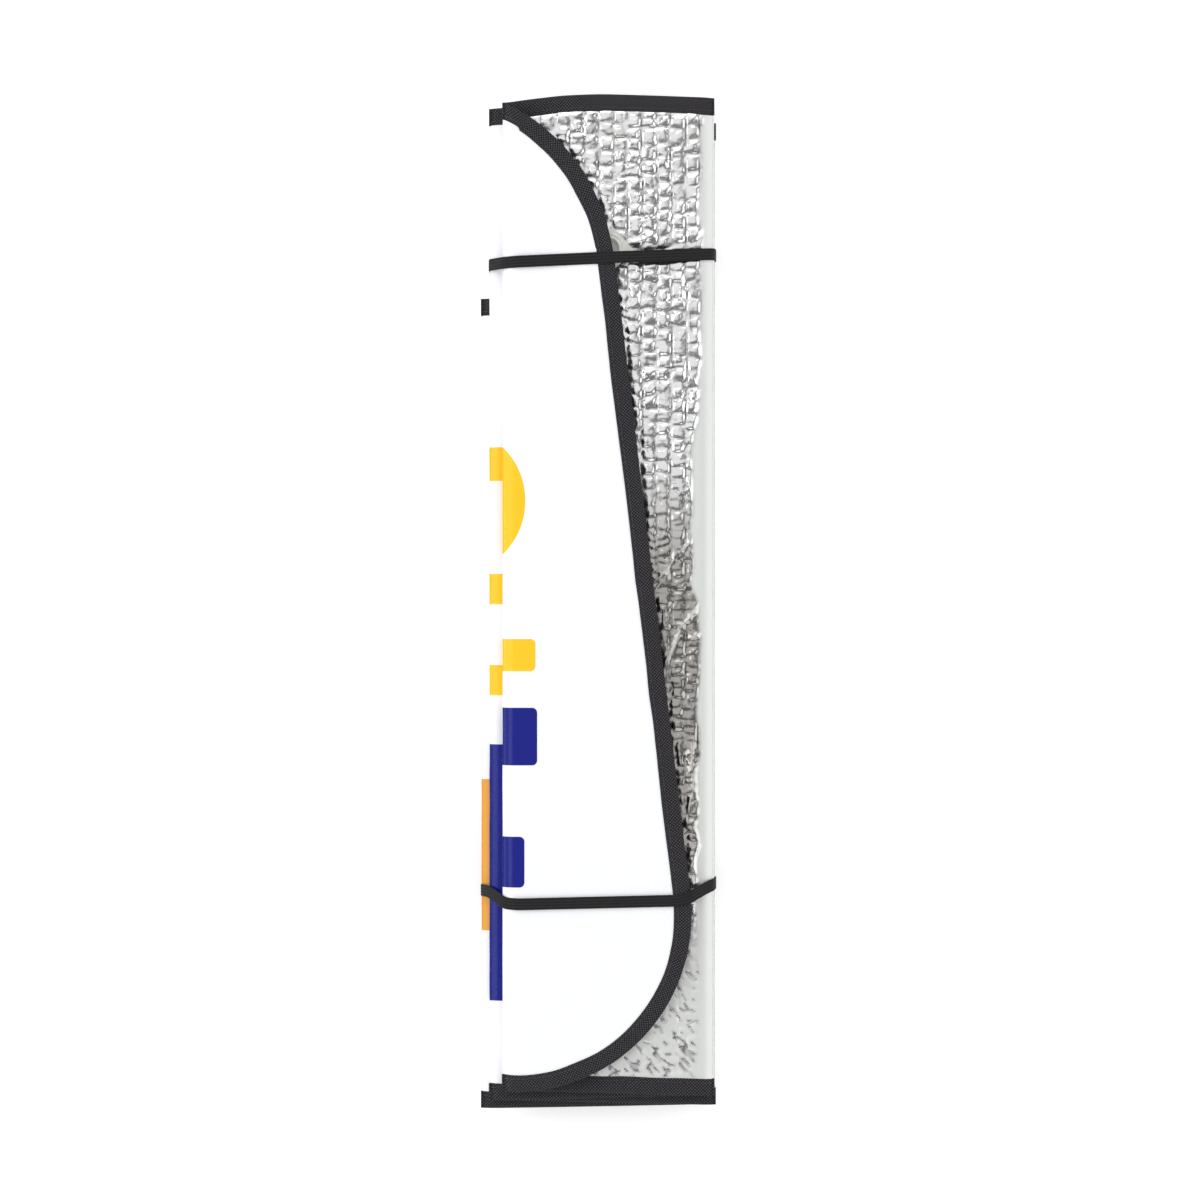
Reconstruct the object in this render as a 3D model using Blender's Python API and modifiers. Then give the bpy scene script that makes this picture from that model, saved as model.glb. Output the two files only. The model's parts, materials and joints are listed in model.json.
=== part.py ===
"""Folding windscreen sunshade, folded up and held shut by two elastic bands.

The shade is one laminate (printed cover, air-bubble core, aluminium foil) creased into ten panels that
fold like a bellows. Binding tape runs round its edge, and a suction cup is buttoned through the second
panel from each end. Panel 1 is the top of the folded stack and panel 10 the bottom; odd panels show
their cover upwards and even panels their foil.

Frame: metres, +Z up, +Y towards the edge with the mirror notch, origin at the centre of the underside.
"""
import math
from dataclasses import dataclass

import bmesh
import bpy
from mathutils import Vector
from mathutils.geometry import convex_hull_2d

MM = 0.001

# Folded stack
PANELS = 10
FOLD_SPAN = 124 * MM                     # first fold to second fold, across the stack
LEFT_STAGGER = (0, 8 * MM, 13 * MM, 8 * MM, 0)    # how far folds 1, 3, 5, 7 and 9 stand out
RIGHT_STAGGER = (0, 1 * MM, 1 * MM, 0)            # the same for folds 2, 4, 6 and 8
CREASE_WIDTH = 8 * MM                    # laminate pressed thin on each side of a fold
PANEL_GAP = 0.3 * MM                     # bindings of neighbouring panels

# Laminate and binding
CORE_THICKNESS = 1.6 * MM
SKIN_THICKNESS = 0.3 * MM
LAYER_GAP = 0.2 * MM
TIP_THICKNESS = 0.4 * MM                 # core at the crease itself
HINGE_CLEARANCE = 0.15 * MM              # every piece to the crease line and to its mid-plane
TAPE_THICKNESS = 0.4 * MM
TAPE_FACE = 10 * MM                      # width of the tape on each side of the laminate

# Outline, measured from the middle of the shade along the laminate
HALF_HEIGHT = 300 * MM
NOTCH_DEPTH = 120 * MM                   # mirror notch, from the highest point of the top edge
NOTCH_HALF_WIDTH = 35 * MM               # flat part of that floor
NOTCH_FLANK = 110 * MM                   # run of the S-shaped side of the notch
CREST = 470 * MM                         # where the top edge is highest
TOP_SAG = 8 * MM                         # fall of the top edge towards the middle, at fold 3
ARCH_POWER = 1.2                         # form of the long arches: 1 is straight, 2 a parabola
NOTCH_STEP = 9 * MM                      # spacing of outline points beside the notch
EDGE_STEP = 30 * MM                      # and along the gentle edges

# End panels: two corner arcs joined by a slanted edge
END_REACH = 110.3 * MM
END_RISE = 12 * MM                       # lowest point above that of the middle panels
END_SLANT = math.radians(6.8)
TOP_CORNER_RADIUS = 112 * MM
TOP_CORNER_DROP = 94 * MM                # from the crest to where the slant runs into the top corner
BOTTOM_CORNER_RADIUS = 103 * MM
CORNER_STEP = math.radians(7.5)
STATION_GAP = 0.05 * MM                  # least distance between two outline points
LAST_CORNER_ANGLE = math.radians(87)

# Elastic bands
BAND_WIDTH = 7 * MM
BAND_THICKNESS = 1.0 * MM
BAND_GAP = 0.3 * MM
BAND_FROM_TOP = 97 * MM
BAND_FROM_BOTTOM = 125 * MM
BAND_CORNER_STEP = math.radians(30)

# Suction cups
CUP_BELOW_TOP = 91 * MM
CUP_PANELS = (2, PANELS - 1)
CUP_RADIUS = 17 * MM
CUP_FLANGE = 1.2 * MM
CUP_RIM_OUTER = 9.5 * MM
CUP_RIM_INNER = 6.0 * MM
CUP_RIM_HEIGHT = 3.3 * MM
CUP_NECK_RADIUS = 3.5 * MM
CUP_HEAD_RADIUS = 7 * MM
CUP_HEAD_THICKNESS = 1.4 * MM
RIM_SPARE = 1.7 * MM                     # free height between a cup's rim and the next panel
HEAD_SPARE = 0.7 * MM                    # free height between its head and the panel on the other side
CUP_CLEARANCE = 0.3 * MM
CUP_HOLE_CLEARANCE = 0.5 * MM
CUP_SIDES = 32

HALF_CORE = CORE_THICKNESS / 2
HALF_LAMINATE = HALF_CORE + LAYER_GAP + SKIN_THICKNESS
HALF_SLOT = HALF_LAMINATE + LAYER_GAP    # inside of the folded tape
HALF_BOUND = HALF_SLOT + TAPE_THICKNESS  # outside of the folded tape
TIP_OFFSET = HINGE_CLEARANCE + TAPE_THICKNESS + LAYER_GAP + TIP_THICKNESS / 2
TAPE_OVERHANG = LAYER_GAP + TAPE_THICKNESS
FOLDS = PANELS - 1
MIDDLE_FOLD = PANELS // 2

COLOURS = {
    "print_cover": ((0.86, 0.86, 0.84), 0.45, 0.0),
    "bubble_core": ((0.72, 0.74, 0.76), 0.40, 0.0),
    "foil": ((0.77, 0.78, 0.80), 0.25, 1.0),
    "binding": ((0.02, 0.02, 0.02), 0.85, 0.0),
    "elastic_band": ((0.02, 0.02, 0.02), 0.80, 0.0),
    "suction_cup": ((0.80, 0.83, 0.66), 0.12, 0.0),
}


def fold_x(fold):
    """Place of a fold across the stack: odd folds are on the left, even folds on the right."""
    stagger = LEFT_STAGGER if fold % 2 else RIGHT_STAGGER
    reach = FOLD_SPAN / 2 + stagger[(fold - 1) // 2]
    off_centre = (max(LEFT_STAGGER) - max(RIGHT_STAGGER)) / 2
    return off_centre - reach if fold % 2 else off_centre + reach


def pitch(fold):
    """Distance between the middles of the two panels that meet at a fold."""
    if fold in (1, FOLDS):
        return 2 * HALF_LAMINATE + CUP_RIM_HEIGHT + RIM_SPARE
    if fold in (2, FOLDS - 1):
        return 2 * HALF_LAMINATE + CUP_CLEARANCE + CUP_HEAD_THICKNESS + HEAD_SPARE
    return 2 * HALF_BOUND + PANEL_GAP


def panel_z(number):
    """Height of a panel's middle plane; panel 10 lies on the bands' lower strands."""
    base = BAND_THICKNESS + BAND_GAP + HALF_BOUND
    return base + sum(pitch(fold) for fold in range(number, PANELS))


def fold_z(fold):
    return (panel_z(fold) + panel_z(fold + 1)) / 2


def fold_distance(fold):
    """Distance of a fold from the middle of the shade, along the laminate."""
    inner, outer = sorted((fold, MIDDLE_FOLD))
    return sum(abs(fold_x(step + 1) - fold_x(step)) for step in range(inner, outer))


# Corner arcs of an end panel, in distance from its fold and height above the middle
BOTTOM_CORNER = Vector((END_REACH - BOTTOM_CORNER_RADIUS, BOTTOM_CORNER_RADIUS + END_RISE - HALF_HEIGHT))
SLANT_NORMAL = Vector((math.cos(END_SLANT), math.sin(END_SLANT)))
SLANT_END = BOTTOM_CORNER + BOTTOM_CORNER_RADIUS * SLANT_NORMAL
SLANT_TOP = HALF_HEIGHT - TOP_CORNER_DROP
SLANT_START = Vector((SLANT_END.x - (SLANT_TOP - SLANT_END.y) * math.tan(END_SLANT), SLANT_TOP))
TOP_CORNER = SLANT_START - TOP_CORNER_RADIUS * SLANT_NORMAL


def end_top(distance):
    """Upper outline of an end panel at a distance from its fold."""
    if distance <= SLANT_START.x:
        return TOP_CORNER.y + math.sqrt(TOP_CORNER_RADIUS ** 2 - (distance - TOP_CORNER.x) ** 2)
    if distance <= SLANT_END.x:
        return SLANT_END.y + (SLANT_END.x - distance) / math.tan(END_SLANT)
    return BOTTOM_CORNER.y + math.sqrt(BOTTOM_CORNER_RADIUS ** 2 - (distance - BOTTOM_CORNER.x) ** 2)


def end_bottom(distance):
    """Lower outline of an end panel at a distance from its fold."""
    return BOTTOM_CORNER.y - math.sqrt(BOTTOM_CORNER_RADIUS ** 2 - (distance - BOTTOM_CORNER.x) ** 2)


def end_width(y):
    """Distance of an end panel's free edge from its fold, at a height."""
    if y >= SLANT_END.y:
        return SLANT_END.x - (y - SLANT_END.y) * math.tan(END_SLANT)
    return BOTTOM_CORNER.x + math.sqrt(BOTTOM_CORNER_RADIUS ** 2 - (y - BOTTOM_CORNER.y) ** 2)


OUTER_FOLD = fold_distance(1)


def top_edge(distance):
    """Upper outline of the folded panels, at a distance from the middle of the shade."""
    if distance > CREST:
        fall = HALF_HEIGHT - end_top(0)
        arch = HALF_HEIGHT - fall * ((distance - CREST) / (OUTER_FOLD - CREST)) ** 2
    else:
        arch = HALF_HEIGHT - TOP_SAG * ((CREST - distance) / (CREST - fold_distance(3))) ** ARCH_POWER
    rise = min(max((distance - NOTCH_HALF_WIDTH) / NOTCH_FLANK, 0.0), 1.0)
    floor = HALF_HEIGHT - NOTCH_DEPTH
    return floor + (arch - floor) * rise * rise * (3 - 2 * rise)


def bottom_edge(distance):
    """Lower outline of the folded panels: deepest in the middle of the shade."""
    rise = HALF_HEIGHT + end_bottom(0)
    return rise * (distance / OUTER_FOLD) ** ARCH_POWER - HALF_HEIGHT


@dataclass(frozen=True)
class Station:
    """One section across a panel: its place, its outline and whether it lies in a crease."""

    x: float
    top: float
    bottom: float
    in_crease: bool


class Panel:
    """Outline and thickness of one panel, from which its layers and bindings are lofted."""

    def __init__(self, number):
        self.number = number
        self.z = panel_z(number)
        self.is_end = number in (1, PANELS)
        self.folds = [fold for fold in (number - 1, number) if 1 <= fold <= FOLDS]
        self.folds.sort(key=lambda fold: abs(fold - MIDDLE_FOLD))
        self.start = fold_x(self.folds[0])
        self.side = 1 if self.start < 0 else -1
        self.length = END_REACH if self.is_end else abs(fold_x(self.folds[1]) - self.start)
        self.cover_side = 1 if number % 2 else -1

    def outline(self, distance):
        """Upper and lower edge at a distance from the panel's fold nearest the middle of the shade."""
        if self.is_end:
            return end_top(distance), end_bottom(distance)
        along = fold_distance(self.folds[0]) + distance
        return top_edge(along), bottom_edge(along)

    def distances(self):
        """Where the panel has sections: crease line and crease edge of each fold, and between them."""
        if self.is_end:
            steps = int(LAST_CORNER_ANGLE / CORNER_STEP)
            angles = [CORNER_STEP * step for step in range(1, steps + 1)] + [LAST_CORNER_ANGLE]
            corners = [BOTTOM_CORNER.x + BOTTOM_CORNER_RADIUS * math.sin(angle) for angle in angles]
            between = apart(corners + [SLANT_START.x, SLANT_END.x], CREASE_WIDTH, END_REACH)
            return [HINGE_CLEARANCE, CREASE_WIDTH] + between
        first, last = CREASE_WIDTH, self.length - CREASE_WIDTH
        step_length = NOTCH_STEP if MIDDLE_FOLD in self.folds else EDGE_STEP
        steps = math.ceil((last - first) / step_length)
        between = [first + (last - first) * step / steps for step in range(1, steps)]
        between.append(CREST - fold_distance(self.folds[0]))
        return [HINGE_CLEARANCE, first] + apart(between, first, last) + [last, self.length - HINGE_CLEARANCE]

    def stations(self, flat_only=False):
        found = []
        for distance in self.distances():
            top, bottom = self.outline(distance)
            near = min(distance, self.length - distance) if not self.is_end else distance
            if flat_only and near < CREASE_WIDTH - STATION_GAP:
                continue
            in_crease = near < CREASE_WIDTH + STATION_GAP
            found.append(Station(self.start + self.side * distance, top, bottom, in_crease))
        return found

    def middle_and_share(self, x):
        """Middle height of the laminate at x, and its share of full thickness: 0 at a crease, 1 when flat."""
        for fold in self.folds:
            near = abs(x - fold_x(fold))
            if near < CREASE_WIDTH:
                share = (near - HINGE_CLEARANCE) / (CREASE_WIDTH - HINGE_CLEARANCE)
                towards = 1 if self.z > fold_z(fold) else -1
                tip = fold_z(fold) + towards * TIP_OFFSET
                return tip + share * (self.z - tip), share
        return self.z, 1.0


def apart(places, first, last):
    """The places between first and last, in order, without any that nearly meets another."""
    kept = [first]
    for place in sorted(places):
        if kept[-1] + STATION_GAP < place < last - STATION_GAP:
            kept.append(place)
    return kept[1:]


def taper(tip, full, share):
    return tip + (full - tip) * share


def clear_scene():
    for thing in list(bpy.data.objects):
        bpy.data.objects.remove(thing, do_unlink=True)


def new_collection(name):
    collection = bpy.data.collections.new(name)
    bpy.context.scene.collection.children.link(collection)
    return collection


def new_material(name, kind):
    colour, roughness, metallic = COLOURS[kind]
    material = bpy.data.materials.new(name)
    material.use_nodes = True
    shader = material.node_tree.nodes["Principled BSDF"]
    shader.inputs["Base Color"].default_value = (*colour, 1)
    shader.inputs["Roughness"].default_value = roughness
    shader.inputs["Metallic"].default_value = metallic
    return material


def add_piece(name, kind, rings, closed, caps, body):
    """Make a piece from rings of corners joined side to side.

    rings: lists of corners, all as long; closed joins the last ring to the first; caps lists the
    corners of each face that shuts the first and last ring of an open row.
    """
    mesh = bpy.data.meshes.new(name)
    shape = bmesh.new()
    origin = body.matrix_world.translation
    corners = [[shape.verts.new(Vector(point) - origin) for point in ring] for ring in rings]
    count = len(rings[0])
    pairs = list(zip(corners, corners[1:]))
    if closed:
        pairs.append((corners[-1], corners[0]))
    for ring, following in pairs:
        for step in range(count):
            after = (step + 1) % count
            shape.faces.new((ring[step], ring[after], following[after], following[step]))
    for cap in caps:
        shape.faces.new([corners[0][index] for index in reversed(cap)])
        shape.faces.new([corners[-1][index] for index in cap])
    bmesh.ops.recalc_face_normals(shape, faces=shape.faces)
    if shape.calc_volume(signed=True) < 0:
        bmesh.ops.reverse_faces(shape, faces=shape.faces)
    shape.to_mesh(mesh)
    shape.free()
    return place(bpy.data.objects.new(name, mesh), kind, body)


def place(piece, kind, body):
    """Give a piece its material and hang it on the empty that carries its body."""
    piece.data.materials.append(new_material(piece.name, kind))
    piece.parent = body
    bpy.data.collections["folding_sunshade"].objects.link(piece)
    return piece


def add_layer(name, kind, panel, low, high, body, flat_only):
    """A layer of the laminate between two heights from the panel's middle plane."""
    rings = []
    for station in panel.stations(flat_only):
        middle, share = panel.middle_and_share(station.x)
        under = middle + taper(-TIP_THICKNESS / 2, low, share)
        over = middle + taper(TIP_THICKNESS / 2, high, share)
        rings.append([(station.x, station.bottom, under), (station.x, station.top, under),
                      (station.x, station.top, over), (station.x, station.bottom, over)])
    return add_piece(name, kind, rings, False, [(0, 1, 2, 3)], body)


def edge_normals(path, upright):
    """Outward normals along an open edge; where upright is set, the normal is square to the crease."""
    normals = []
    for index, point in enumerate(path):
        if upright[index]:
            normals.append(Vector((0, upright[index])))
            continue
        before, after = path[max(index - 1, 0)], path[min(index + 1, len(path) - 1)]
        run = ((point - before).normalized() + (after - point).normalized()).normalized()
        normals.append(Vector((-run.y, run.x)))
    return normals


def add_binding(name, panel, path, upright, body):
    """Tape folded over an edge of the panel, its legs TAPE_FACE wide on both faces."""
    rings = []
    for point, normal in zip(path, edge_normals(path, upright)):
        ring = []
        for inward, side, outside in (
                (TAPE_FACE - TAPE_OVERHANG, 1, False), (-LAYER_GAP, 1, False),
                (-LAYER_GAP, -1, False), (TAPE_FACE - TAPE_OVERHANG, -1, False),
                (TAPE_FACE - TAPE_OVERHANG, -1, True), (-TAPE_OVERHANG, -1, True),
                (-TAPE_OVERHANG, 1, True), (TAPE_FACE - TAPE_OVERHANG, 1, True)):
            place_xy = point - normal * inward
            middle, share = panel.middle_and_share(place_xy.x)
            half = taper(TIP_THICKNESS / 2 + LAYER_GAP, HALF_SLOT, share) + TAPE_THICKNESS * outside
            ring.append((place_xy.x, place_xy.y, middle + side * half))
        rings.append(ring)
    return add_piece(name, "binding", rings, False, [(0, 1, 6, 7), (1, 2, 5, 6), (2, 3, 4, 5)], body)


def add_panel_bindings(panel, body):
    """One tape round the free edge of an end panel, or one along each edge of the others."""
    stations = panel.stations()
    tops = [(Vector((station.x, station.top)), station.in_crease) for station in stations]
    bottoms = [(Vector((station.x, station.bottom)), -station.in_crease) for station in stations]
    if panel.side > 0:
        bottoms.reverse()
    else:
        tops.reverse()
    if panel.is_end:
        add_binding(f"end_binding_{panel.number:02d}", panel, *zip(*(tops + bottoms)), body)
    else:
        add_binding(f"top_binding_{panel.number:02d}", panel, *zip(*tops), body)
        add_binding(f"bottom_binding_{panel.number:02d}", panel, *zip(*bottoms), body)


def cup_position(panel):
    """Middle of the panel's width, a fixed distance below its top edge."""
    distance = panel.length / 2
    return panel.start + panel.side * distance, panel.outline(distance)[0] - CUP_BELOW_TOP


def add_cup_cutter(panel, cutters):
    """Cylinder that leaves the hole for the cup's neck."""
    x, y = cup_position(panel)
    mesh = bpy.data.meshes.new("cup_hole")
    shape = bmesh.new()
    radius = CUP_NECK_RADIUS + CUP_HOLE_CLEARANCE
    bmesh.ops.create_cone(shape, cap_ends=True, segments=CUP_SIDES, radius1=radius, radius2=radius,
                          depth=4 * HALF_BOUND)
    shape.to_mesh(mesh)
    shape.free()
    cutter = bpy.data.objects.new(f"cup_hole_{panel.number:02d}", mesh)
    cutter.location = (x, y, panel.z)
    cutter.hide_render = True
    cutter.display_type = "WIRE"
    cutters.objects.link(cutter)
    return cutter


def cut_hole(piece, cutter):
    cut = piece.modifiers.new("cup_hole", "BOOLEAN")
    cut.operation = "DIFFERENCE"
    cut.object = cutter


def add_cup(panel, body):
    """Suction cup turned about its axis: dish on the foil side, button head on the cover side."""
    foil_face = HALF_LAMINATE + CUP_CLEARANCE
    flange_top = foil_face + CUP_FLANGE
    head_top = -HALF_LAMINATE - CUP_CLEARANCE
    profile = [
        (0, flange_top), (CUP_RIM_INNER, flange_top), (CUP_RIM_INNER, HALF_LAMINATE + CUP_RIM_HEIGHT),
        (CUP_RIM_OUTER, HALF_LAMINATE + CUP_RIM_HEIGHT), (CUP_RIM_OUTER, flange_top),
        (CUP_RADIUS, flange_top), (CUP_RADIUS, foil_face), (CUP_NECK_RADIUS, foil_face),
        (CUP_NECK_RADIUS, head_top), (CUP_HEAD_RADIUS, head_top),
        (CUP_HEAD_RADIUS, head_top - CUP_HEAD_THICKNESS), (0, head_top - CUP_HEAD_THICKNESS),
    ]
    name = f"suction_cup_{panel.number:02d}"
    mesh = bpy.data.meshes.new(name)
    points = [(radius, 0, height) for radius, height in profile]
    mesh.from_pydata(points, [(step, step + 1) for step in range(len(points) - 1)], [])
    cup = place(bpy.data.objects.new(name, mesh), "suction_cup", body)
    x, y = cup_position(panel)
    cup.location = Vector((x, y, panel.z)) - body.matrix_world.translation
    if panel.cover_side > 0:
        cup.rotation_euler.x = math.pi
    turn = cup.modifiers.new("turn", "SCREW")
    turn.steps = turn.render_steps = CUP_SIDES
    turn.use_merge_vertices = True
    turn.merge_threshold = 0.01 * MM


def stack_section(reach, left):
    """Corners of the folded stack's section, its end panels reaching to x = reach.

    Folds to the left of x = left are left out, because the mirror notch has cut them away.
    """
    points = []
    for number in range(1, PANELS + 1):
        panel = Panel(number)
        ends = [fold_x(fold) + math.copysign(CREASE_WIDTH, -fold_x(fold)) for fold in panel.folds]
        if panel.is_end:
            ends.append(reach)
        points += [(x, panel.z + side * HALF_BOUND) for x in ends for side in (-1, 1)]
    tip_height = TIP_OFFSET + TIP_THICKNESS / 2 + TAPE_OVERHANG
    for fold in range(1, FOLDS + 1):
        points += [(fold_x(fold), fold_z(fold) + side * tip_height) for side in (-1, 1)]
    return [Vector(point) for point in points if point[0] >= left]


def passed_reach(y, direction):
    """Furthest x of the end panels that a band at height y passes on its way off the stack."""
    edge = y - direction * BAND_WIDTH / 2
    widest = END_REACH if direction < 0 and edge > BOTTOM_CORNER.y else end_width(edge)
    return fold_x(1) + widest + TAPE_OVERHANG


def add_band(name, y, direction, left, root):
    """Elastic loop round the stack: the stack's convex outline, offset by the gap and by the thickness.

    The band hangs on an empty of its own, because it slides off the stack towards direction.
    """
    points = stack_section(passed_reach(y, direction), left)
    hull = [points[index] for index in convex_hull_2d(points)]
    if sum(a.x * b.y - b.x * a.y for a, b in zip(hull, hull[1:] + hull[:1])) < 0:
        hull.reverse()
    low, high = y - BAND_WIDTH / 2, y + BAND_WIDTH / 2
    rings = []
    for index, corner in enumerate(hull):
        before, after = hull[index - 1], hull[(index + 1) % len(hull)]
        first = math.atan2(before.x - corner.x, corner.y - before.y)
        turn = (math.atan2(corner.x - after.x, after.y - corner.y) - first) % (2 * math.pi)
        steps = max(1, math.ceil(turn / BAND_CORNER_STEP))
        for step in range(steps + 1):
            angle = first + turn * step / steps
            outwards = Vector((math.cos(angle), math.sin(angle)))
            inside = corner + outwards * BAND_GAP
            outside = corner + outwards * (BAND_GAP + BAND_THICKNESS)
            rings.append([(inside.x, low, inside.y), (outside.x, low, outside.y),
                          (outside.x, high, outside.y), (inside.x, high, inside.y)])
    body = add_body(f"{name}_slide", (0, y, 0), root)
    return add_piece(name, "elastic_band", rings, True, [], body)


def add_body(name, position, parent):
    """Empty that carries one moving body, standing on its joint's axis."""
    body = bpy.data.objects.new(name, None)
    body.empty_display_size = 20 * MM
    body.location = position
    if parent is not None:
        body.parent = parent
        body.location = Vector(position) - parent.matrix_world.translation
    bpy.data.collections["folding_sunshade"].objects.link(body)
    bpy.context.view_layer.update()
    return body


def add_panel(number, body, cutters):
    """Layers, bindings and, where there is one, suction cup of one panel."""
    panel = Panel(number)
    label = f"{number:02d}"
    skin_from = HALF_CORE + LAYER_GAP
    layers = [add_layer(f"bubble_core_{label}", "bubble_core", panel, -HALF_CORE, HALF_CORE, body, False)]
    for name, side in (("print_cover", panel.cover_side), ("foil", -panel.cover_side)):
        low, high = sorted((side * skin_from, side * HALF_LAMINATE))
        layers.append(add_layer(f"{name}_{label}", name, panel, low, high, body, True))
    add_panel_bindings(panel, body)
    if number in CUP_PANELS:
        cutter = add_cup_cutter(panel, cutters)
        for layer in layers:
            cut_hole(layer, cutter)
        add_cup(panel, body)


def main():
    clear_scene()
    new_collection("folding_sunshade")
    cutters = new_collection("cutters")
    body = add_body("stack_root", (0, 0, 0), None)
    root = body
    for number in range(PANELS, 0, -1):
        if number < PANELS:
            body = add_body(f"fold_{number}", (fold_x(number), 0, fold_z(number)), body)
        add_panel(number, body, cutters)
    add_band("elastic_band_top", HALF_HEIGHT - BAND_FROM_TOP, 1, fold_x(3), root)
    add_band("elastic_band_bottom", BAND_FROM_BOTTOM - HALF_HEIGHT, -1, fold_x(MIDDLE_FOLD), root)


main()
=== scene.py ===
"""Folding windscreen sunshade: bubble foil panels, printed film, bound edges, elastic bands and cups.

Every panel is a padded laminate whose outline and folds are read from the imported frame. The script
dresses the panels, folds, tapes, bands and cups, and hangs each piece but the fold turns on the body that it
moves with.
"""

import json
import logging
import math
from dataclasses import dataclass, field
from enum import Enum

import bpy
import numpy as np
from mathutils import Matrix, Vector
from mathutils.geometry import convex_hull_2d


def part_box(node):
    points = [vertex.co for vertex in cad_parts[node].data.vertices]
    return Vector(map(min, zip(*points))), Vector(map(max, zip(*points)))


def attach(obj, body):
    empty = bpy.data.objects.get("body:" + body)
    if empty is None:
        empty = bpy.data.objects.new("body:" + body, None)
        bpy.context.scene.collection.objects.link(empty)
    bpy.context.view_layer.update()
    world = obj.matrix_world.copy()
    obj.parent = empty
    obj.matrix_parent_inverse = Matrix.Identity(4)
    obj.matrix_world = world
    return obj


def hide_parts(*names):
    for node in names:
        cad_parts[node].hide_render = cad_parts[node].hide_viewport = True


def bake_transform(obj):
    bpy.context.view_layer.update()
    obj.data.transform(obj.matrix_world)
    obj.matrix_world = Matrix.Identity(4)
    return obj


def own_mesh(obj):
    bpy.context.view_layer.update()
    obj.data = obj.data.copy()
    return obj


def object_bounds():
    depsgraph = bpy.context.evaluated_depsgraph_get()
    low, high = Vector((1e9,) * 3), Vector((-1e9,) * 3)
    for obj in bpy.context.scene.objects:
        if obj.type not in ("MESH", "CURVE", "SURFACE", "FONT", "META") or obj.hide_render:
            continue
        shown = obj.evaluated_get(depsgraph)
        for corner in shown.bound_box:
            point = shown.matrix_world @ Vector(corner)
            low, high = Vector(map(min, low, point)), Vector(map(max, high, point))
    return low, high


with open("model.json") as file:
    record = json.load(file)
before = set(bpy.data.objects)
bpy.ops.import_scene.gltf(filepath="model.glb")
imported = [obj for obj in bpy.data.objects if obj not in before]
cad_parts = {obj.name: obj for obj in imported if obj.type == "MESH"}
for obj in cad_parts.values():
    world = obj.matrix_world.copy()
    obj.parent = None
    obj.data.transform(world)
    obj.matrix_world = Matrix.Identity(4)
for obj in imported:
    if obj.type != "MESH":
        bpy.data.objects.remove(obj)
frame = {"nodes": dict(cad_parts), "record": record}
CAD_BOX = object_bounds()

LOG = logging.getLogger("sunshade")
MM = 0.001
PANELS = 10
EXPOSED = 2                     # panel whose foil shows in the closed stack
CUP_PANELS = (2, 9)
SEEDS = 20                      # noise patterns set aside for each panel
PINCH = 2.4                     # how quickly the laminate closes in on a fold
OUTLINE_STEP = 1 * MM
COARSE_STEP = 4 * MM            # for distances from an outline
NET_INSET = 1.5 * MM            # from the cut edge to a panel's skin, inside the tape
FOLD_LINES_AT = (0.15, 0.5, 1.0, 1.6, 2.3, 3.1, 4.0, 5.0, 6.1, 7.2)    # a net's lines beside a fold, in mm
TAPE_FADE = (8.0 * MM, 11.5 * MM)    # the foil rises between these distances from the cut edge
CUP_FADE = (8.5 * MM, 12.0 * MM)     # and between these from a cup's middle
SKIN_END = 9.2 * MM             # from a panel's corner to the end of its skin in the fold
CREASE = 8 * MM                 # laminate pressed thin on each side of a fold
CREASE_CLEAR = 0.15 * MM        # every skin to the fold line
OUTER_TIP = 0.55 * MM           # outer face of the laminate at the fold, from the fold's mid-plane
INNER_TIP = 0.12 * MM           # inner face there
HALF_LAMINATE = 1.3 * MM        # pressed laminate, middle to face
FILM = 0.25 * MM                # printed film
PRESSED_FILM = 0.10 * MM        # and where it is pressed into a fold
TAPE_FACE = 10 * MM


class Face(Enum):
    """Which way a face of the laminate looks in the closed stack."""

    UP = 1
    DOWN = -1


# ---------------------------------------------------------------- small tools


def linear(code: str) -> tuple[float, float, float, float]:
    """Turn an sRGB hex value into the linear colour that a shader socket takes.

    Args:
        code: six hex digits, with or without a leading hash.

    Returns:
        Linear red, green, blue and an alpha of one.
    """
    code = code.lstrip("#")
    parts = [int(code[at:at + 2], 16) / 255 for at in (0, 2, 4)]
    return (*[part / 12.92 if part <= 0.04045 else ((part + 0.055) / 1.055) ** 2.4 for part in parts], 1.0)


def smoothstep(low: float, high: float, value: np.ndarray) -> np.ndarray:
    """Rise smoothly from 0 at low to 1 at high."""
    share = np.clip((value - low) / (high - low), 0, 1)
    return share * share * (3 - 2 * share)


def cell_values(column: np.ndarray, row: np.ndarray, seed: int) -> np.ndarray:
    """Give each cell of a grid its own steady random value from 0 to 1."""
    table = np.random.default_rng(seed).random((97, 89))
    return table[column.astype(int) % 97, row.astype(int) % 89]


def noise(x: np.ndarray, y: np.ndarray, cell: float, seed: int, stretch: float = 1.0) -> np.ndarray:
    """Smooth noise from -1 to 1 in two directions.

    Args:
        x: first coordinate.
        y: second coordinate, in the same unit.
        cell: size of one swell in that unit.
        seed: picks the pattern.
        stretch: how much longer a swell is along y.

    Returns:
        Noise for each point.
    """
    across, along = x / cell, y / (cell * stretch)
    column, row = np.floor(across), np.floor(along)
    over, up = across - column, along - row
    over, up = over * over * (3 - 2 * over), up * up * (3 - 2 * up)
    low = cell_values(column, row, seed) * (1 - over) + cell_values(column + 1, row, seed) * over
    high = cell_values(column, row + 1, seed) * (1 - over) + cell_values(column + 1, row + 1, seed) * over
    return 2 * (low * (1 - up) + high * up) - 1


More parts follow.
